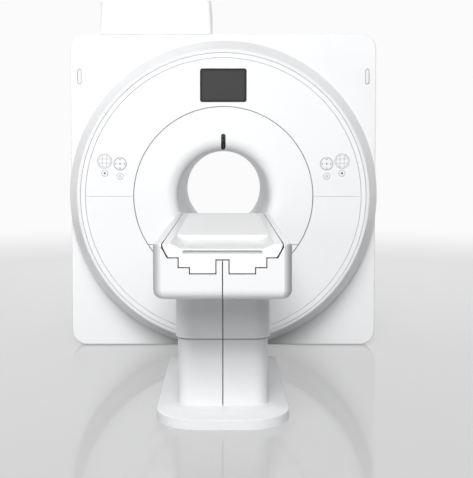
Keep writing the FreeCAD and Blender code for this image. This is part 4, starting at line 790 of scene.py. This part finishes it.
class SCANNER_OT_pad(bpy.types.Operator):
    """Make the patient pad: a filled vinyl cover that lies in the board's trough."""
    bl_idname = "scanner.pad"
    bl_label = "Patient Pad"

    def execute(self, context):
        """Builds the pad."""
        settings = context.scene.scanner_pad
        pad = self.block(settings)
        self.fill(pad, settings)
        settle(pad, "patient_pad", "board", self.vinyl(settings))
        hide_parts("mattress")
        return {"FINISHED"}

    def vinyl(self, settings):
        """Coated fabric with a leather-like grain and a welded seam round the pad's face."""
        finish = Finish("Pad Vinyl", IOR=1.5, Sheen_Weight=0.15, Sheen_Roughness=0.5)
        pores = finish.cells(620.0, "SMOOTH_F1")
        crease = finish.noise(26.0, 4.0, 0.6)
        soft = finish.noise(3.0, 3.0)
        x, y, _ = finish.axes()
        centre = middle("mattress")
        to_side = SHOULDER_HALF - abs(x - centre.x)
        to_end = (PAD_HIGH[1] - PAD_LOW[1]) / 2 - abs(y - centre.y)
        seam = abs(to_side.smaller(to_end) - settings.seam_inset).inside(settings.seam_width / 2, 0.0008)
        worn = shade(settings.colour, 0.9)
        finish.set(Base_Color=finish.mix(soft * 0.3 + seam * 0.5, settings.colour, worn),
                   Roughness=pores * 0.15 + crease * 0.08 + 0.42)
        return finish.bump(pores * 0.5 + crease * 2.0 - seam * 3.0, settings.grain, 0.5)

    def block(self, settings):
        """Rounded block as wide as the trough, reaching below its floor."""
        start_fresh()
        low, high = Vector(PAD_LOW), Vector(PAD_HIGH)
        base = TROUGH_FLOOR - 2 * settings.voxel
        bpy.ops.mesh.primitive_cube_add(size=1.0, location=(
            (low.x + high.x) / 2, (low.y + high.y) / 2, (base + BED_HIGH[2]) / 2))
        pad = bpy.context.object
        bpy.ops.object.mode_set(mode="EDIT")
        bpy.ops.transform.resize(value=(2 * SHOULDER_HALF, high.y - low.y, BED_HIGH[2] - base))
        bpy.ops.mesh.bevel(offset=settings.rounding, segments=4)
        bpy.ops.object.mode_set(mode="OBJECT")
        bpy.ops.object.transform_apply(location=True, rotation=True, scale=True)
        return pad

    def fill(self, pad, settings):
        """Turns the block into cloth, blows it up and beds its underside on the trough."""
        self.apply(pad, "REMESH", mode="VOXEL", voxel_size=settings.voxel)
        rest = [vertex.co.copy() for vertex in pad.data.vertices]
        self.inflate(pad)
        low, high = Vector(PAD_LOW), Vector(PAD_HIGH)
        for vertex, start in zip(pad.data.vertices, rest):
            move = vertex.co - start
            if move.length > settings.swell:
                move *= settings.swell / move.length
            above = min(1.0, max(0.0, (start.z - TROUGH_FLOOR) / PAD_FADE))
            to_edge = min(SHOULDER_HALF - abs(start.x), start.y - low.y, high.y - start.y)
            along = start.x if to_edge == start.y - low.y else start.y
            drift = GATHER_DRIFT * math.sin(along * DRIFT_WAVES)
            fading = math.exp(-max(to_edge, 0.0) / GATHER_REACH)
            gather = settings.pucker * (math.sin(along * GATHER_WAVES + drift) * fading)
            place = start + Vector((move.x * SIDE_SWELL, move.y * SIDE_SWELL, move.z + gather)) * above
            slope = (abs(place.x) - TROUGH_HALF) / (SHOULDER_HALF - TROUGH_HALF)
            bed = TROUGH_FLOOR + min(1.0, max(0.0, slope)) * (BED_HIGH[2] - TROUGH_FLOOR)
            place.z = max(place.z, bed + PAD_BED_GAP)
            vertex.co = place
        bpy.context.view_layer.objects.active = pad
        pad.select_set(True)
        bpy.ops.object.shade_smooth()
        self.apply(pad, "SUBSURF", levels=1, render_levels=1)

    def apply(self, piece, kind, **values):
        """Adds one modifier and applies it."""
        bpy.context.view_layer.objects.active = piece
        modifier = piece.modifiers.new(kind.title(), kind)
        for name, value in values.items():
            setattr(modifier, name, value)
        bpy.ops.object.modifier_apply(modifier=modifier.name)

    def inflate(self, pad):
        """Runs the cloth under pressure and keeps its last shape."""
        modifier = pad.modifiers.new("Cloth", "CLOTH")
        cloth = modifier.settings
        cloth.use_pressure = True
        cloth.uniform_pressure_force = CLOTH_PRESSURE
        cloth.effector_weights.gravity = 0.0
        cloth.quality = 5
        modifier.collision_settings.use_self_collision = False
        modifier.point_cache.frame_start = 1
        modifier.point_cache.frame_end = CLOTH_FRAMES
        for number in range(1, CLOTH_FRAMES + 1):
            bpy.context.scene.frame_set(number)
        bpy.context.view_layer.objects.active = pad
        bpy.ops.object.modifier_apply(modifier=modifier.name)
        bpy.context.scene.frame_set(1)


class SCANNER_OT_mechanism(bpy.types.Operator):
    """Finish the magnet, the coils, the frames and the drives inside."""
    bl_idname = "scanner.mechanism"
    bl_label = "Inner Parts"

    def execute(self, context):
        """Finishes every inner piece."""
        paint(brushed_metal("Vessel Steel", (0.56, 0.56, 0.55), (1.0, 12.0, 1.0)), *nodes_of("vessel_steel"))
        paint(brushed_metal("Frame Aluminium", (0.72, 0.72, 0.73), (1.0, 1.0, 14.0), 0.38),
              *nodes_of("frame_aluminium"))
        paint(self.windings(), *nodes_of("winding_copper"))
        paint(self.resin(), *nodes_of("coil_resin"))
        paint(machine_paint("Frame Paint", (0.30, 0.31, 0.32)), *nodes_of("frame_paint"))
        paint(machine_paint("Motor Paint", (0.055, 0.056, 0.06), 0.42), *nodes_of("motor_dark"))
        paint(moulded_plastic("Bearing Plastic", (0.66, 0.66, 0.62), 0.35), *nodes_of("bearing_plastic"))
        paint(self.belt(), *nodes_of("belt_rubber"))
        return {"FINISHED"}

    def windings(self):
        """Potted copper turns round the magnet."""
        finish = Finish("Potted Copper", Metallic=0.7)
        turns = finish.axes()[1].ribs(TURN_PITCH)
        finish.set(Base_Color=finish.mix(turns, (0.20, 0.09, 0.035), (0.58, 0.30, 0.14)),
                   Roughness=turns * 0.1 + 0.35)
        return finish.bump(turns, 0.0006, 0.6)

    def resin(self):
        """Cast resin with glass cloth under its face."""
        finish = Finish("Cast Resin", IOR=1.54, Coat_Weight=0.2)
        cloud = finish.noise(5.0, 5.0)
        cloth = finish.cells(160.0)
        finish.set(Base_Color=finish.mix(cloud * 0.6 + cloth * 0.2, (0.52, 0.44, 0.22), (0.36, 0.28, 0.12)),
                   Roughness=cloud * 0.15 + 0.3)
        return finish.bump(cloth, 0.0004, 0.3)

    def belt(self):
        """Black belt with a fine cross rib."""
        finish = Finish("Belt Rubber", IOR=1.5)
        ribs = finish.axes()[1].ribs(RIB_PITCH)
        finish.set(Base_Color=finish.mix(ribs, (0.016, 0.016, 0.016), (0.03, 0.03, 0.031)),
                   Roughness=ribs * 0.12 + 0.55)
        return finish.bump(ribs, 0.0005, 0.5)


class SCANNER_OT_stage(bpy.types.Operator):
    """Set up the floor, the lights, the backdrop and the camera."""
    bl_idname = "scanner.stage"
    bl_label = "Stage"

    def execute(self, context):
        """Builds the whole stage."""
        settings = context.scene.scanner_stage
        self.floor(settings)
        self.world(settings)
        for lamp in LAMPS:
            self.lamp(*lamp)
        self.camera(settings)
        context.scene.view_settings.view_transform = "Standard"
        return {"FINISHED"}

    def floor(self, settings):
        """Polished pale floor that turns into the backdrop far away."""
        start_fresh()
        bpy.ops.mesh.primitive_plane_add(size=settings.floor_size)
        floor = bpy.context.object
        floor.name = "floor"
        finish = Finish("Polished Floor", IOR=2.2)
        x, y, _ = finish.axes()
        haze = finish.noise(2.0, 3.0)
        finish.set(Base_Color=settings.floor_colour, Roughness=haze * 0.03 + 0.05)
        glow = finish.node("ShaderNodeEmission", inputs={"Color": settings.backdrop, "Strength": 1.0})
        away = (x * x + y * y).root().step(settings.fade_start, settings.fade_end)
        shown = away.larger(settings.floor_glow) * Field(finish, seen_rays(finish.tree))
        mixed = finish.node("ShaderNodeMixShader", inputs={
            0: shown, 1: Field(finish, finish.shader.outputs[0]), 2: glow})
        finish.tree.links.new(mixed.socket, finish.output.inputs[0])
        floor.data.materials.append(finish.material)

    def world(self, settings):
        """Even soft light, and the backdrop's colour where the camera or a reflection sees it."""
        world = bpy.data.worlds.new("Soft Room")
        bpy.context.scene.world = world
        world.use_nodes = True
        tree = world.node_tree
        tree.nodes.clear()
        output = tree.nodes.new("ShaderNodeOutputWorld")
        mix = tree.nodes.new("ShaderNodeMixShader")
        tree.links.new(seen_rays(tree), mix.inputs[0])
        for place, colour, strength in ((1, ROOM_COLOUR, ROOM_LIGHT), (2, settings.backdrop, 1.0)):
            light = tree.nodes.new("ShaderNodeBackground")
            light.inputs["Color"].default_value = (*colour, 1.0)
            light.inputs["Strength"].default_value = strength
            tree.links.new(light.outputs[0], mix.inputs[place])
        tree.links.new(mix.outputs[0], output.inputs[0])

    def lamp(self, name, place, target, size, power):
        """Rectangular softbox aimed at a point and left out of all reflections."""
        light = bpy.data.lights.new(name, "AREA")
        light.shape = "RECTANGLE"
        light.size, light.size_y = size
        light.energy = power
        lamp = bpy.data.objects.new(name, light)
        lamp.location = place
        lamp.rotation_euler = (Vector(target) - Vector(place)).to_track_quat("-Z", "Y").to_euler()
        lamp.visible_glossy = False
        bpy.context.scene.collection.objects.link(lamp)

    def camera(self, settings):
        """Camera at the photograph's standpoint."""
        lens = bpy.data.cameras.new("Camera")
        lens.sensor_fit = "HORIZONTAL"
        lens.sensor_width = 36.0
        lens.lens = settings.focal_pixels / settings.frame_width * lens.sensor_width
        lens.shift_x = (settings.frame_width / 2 - settings.axis_x) / settings.frame_width
        lens.shift_y = (settings.axis_y - settings.frame_height / 2) / settings.frame_width
        lens.clip_end = 200.0
        camera = bpy.data.objects.new("Camera", lens)
        camera.location = settings.camera_place
        camera.rotation_euler = (math.pi / 2 - settings.camera_pitch, 0.0, 0.0)
        bpy.context.scene.collection.objects.link(camera)
        bpy.context.scene.camera = camera


class SCANNER_PT_panel(bpy.types.Panel):
    """Lists the scanner's pieces and their settings."""
    bl_idname = "SCANNER_PT_panel"
    bl_label = "Scanner"
    bl_space_type = "VIEW_3D"
    bl_region_type = "UI"
    bl_category = "Scanner"

    def draw(self, context):
        """Draws each operator with its settings."""
        scene = context.scene
        for operator, group in PANEL_ROWS:
            self.layout.operator(operator)
            if group:
                settings = getattr(scene, group)
                for name in settings.__annotations__:
                    self.layout.prop(settings, name)


PANEL_ROWS = (
    ("scanner.covers", "scanner_covers"),
    ("scanner.front_details", "scanner_controls"),
    ("scanner.controls", None),
    ("scanner.pad", "scanner_pad"),
    ("scanner.mechanism", None),
    ("scanner.stage", "scanner_stage"),
)
SETTINGS = {
    "scanner_covers": CoverSettings,
    "scanner_controls": ControlSettings,
    "scanner_pad": PadSettings,
    "scanner_stage": StageSettings,
}
CLASSES = (SCANNER_OT_covers, SCANNER_OT_front_details, SCANNER_OT_controls, SCANNER_OT_pad,
           SCANNER_OT_mechanism, SCANNER_OT_stage, SCANNER_PT_panel)


def register():
    """Registers the classes and puts their settings on the scene."""
    for group in (*SETTINGS.values(), *CLASSES):
        bpy.utils.register_class(group)
    for name, group in SETTINGS.items():
        setattr(bpy.types.Scene, name, bpy.props.PointerProperty(type=group))


def unregister():
    """Takes the settings and classes away again."""
    for name in SETTINGS:
        delattr(bpy.types.Scene, name)
    for group in (*CLASSES, *SETTINGS.values()):
        bpy.utils.unregister_class(group)


def main():
    """Builds the looks in order."""
    register()
    bpy.ops.scanner.stage()
    bpy.ops.scanner.covers()
    bpy.ops.scanner.front_details()
    bpy.ops.scanner.controls()
    bpy.ops.scanner.pad()
    bpy.ops.scanner.mechanism()


if __name__ == "__main__":
    main()
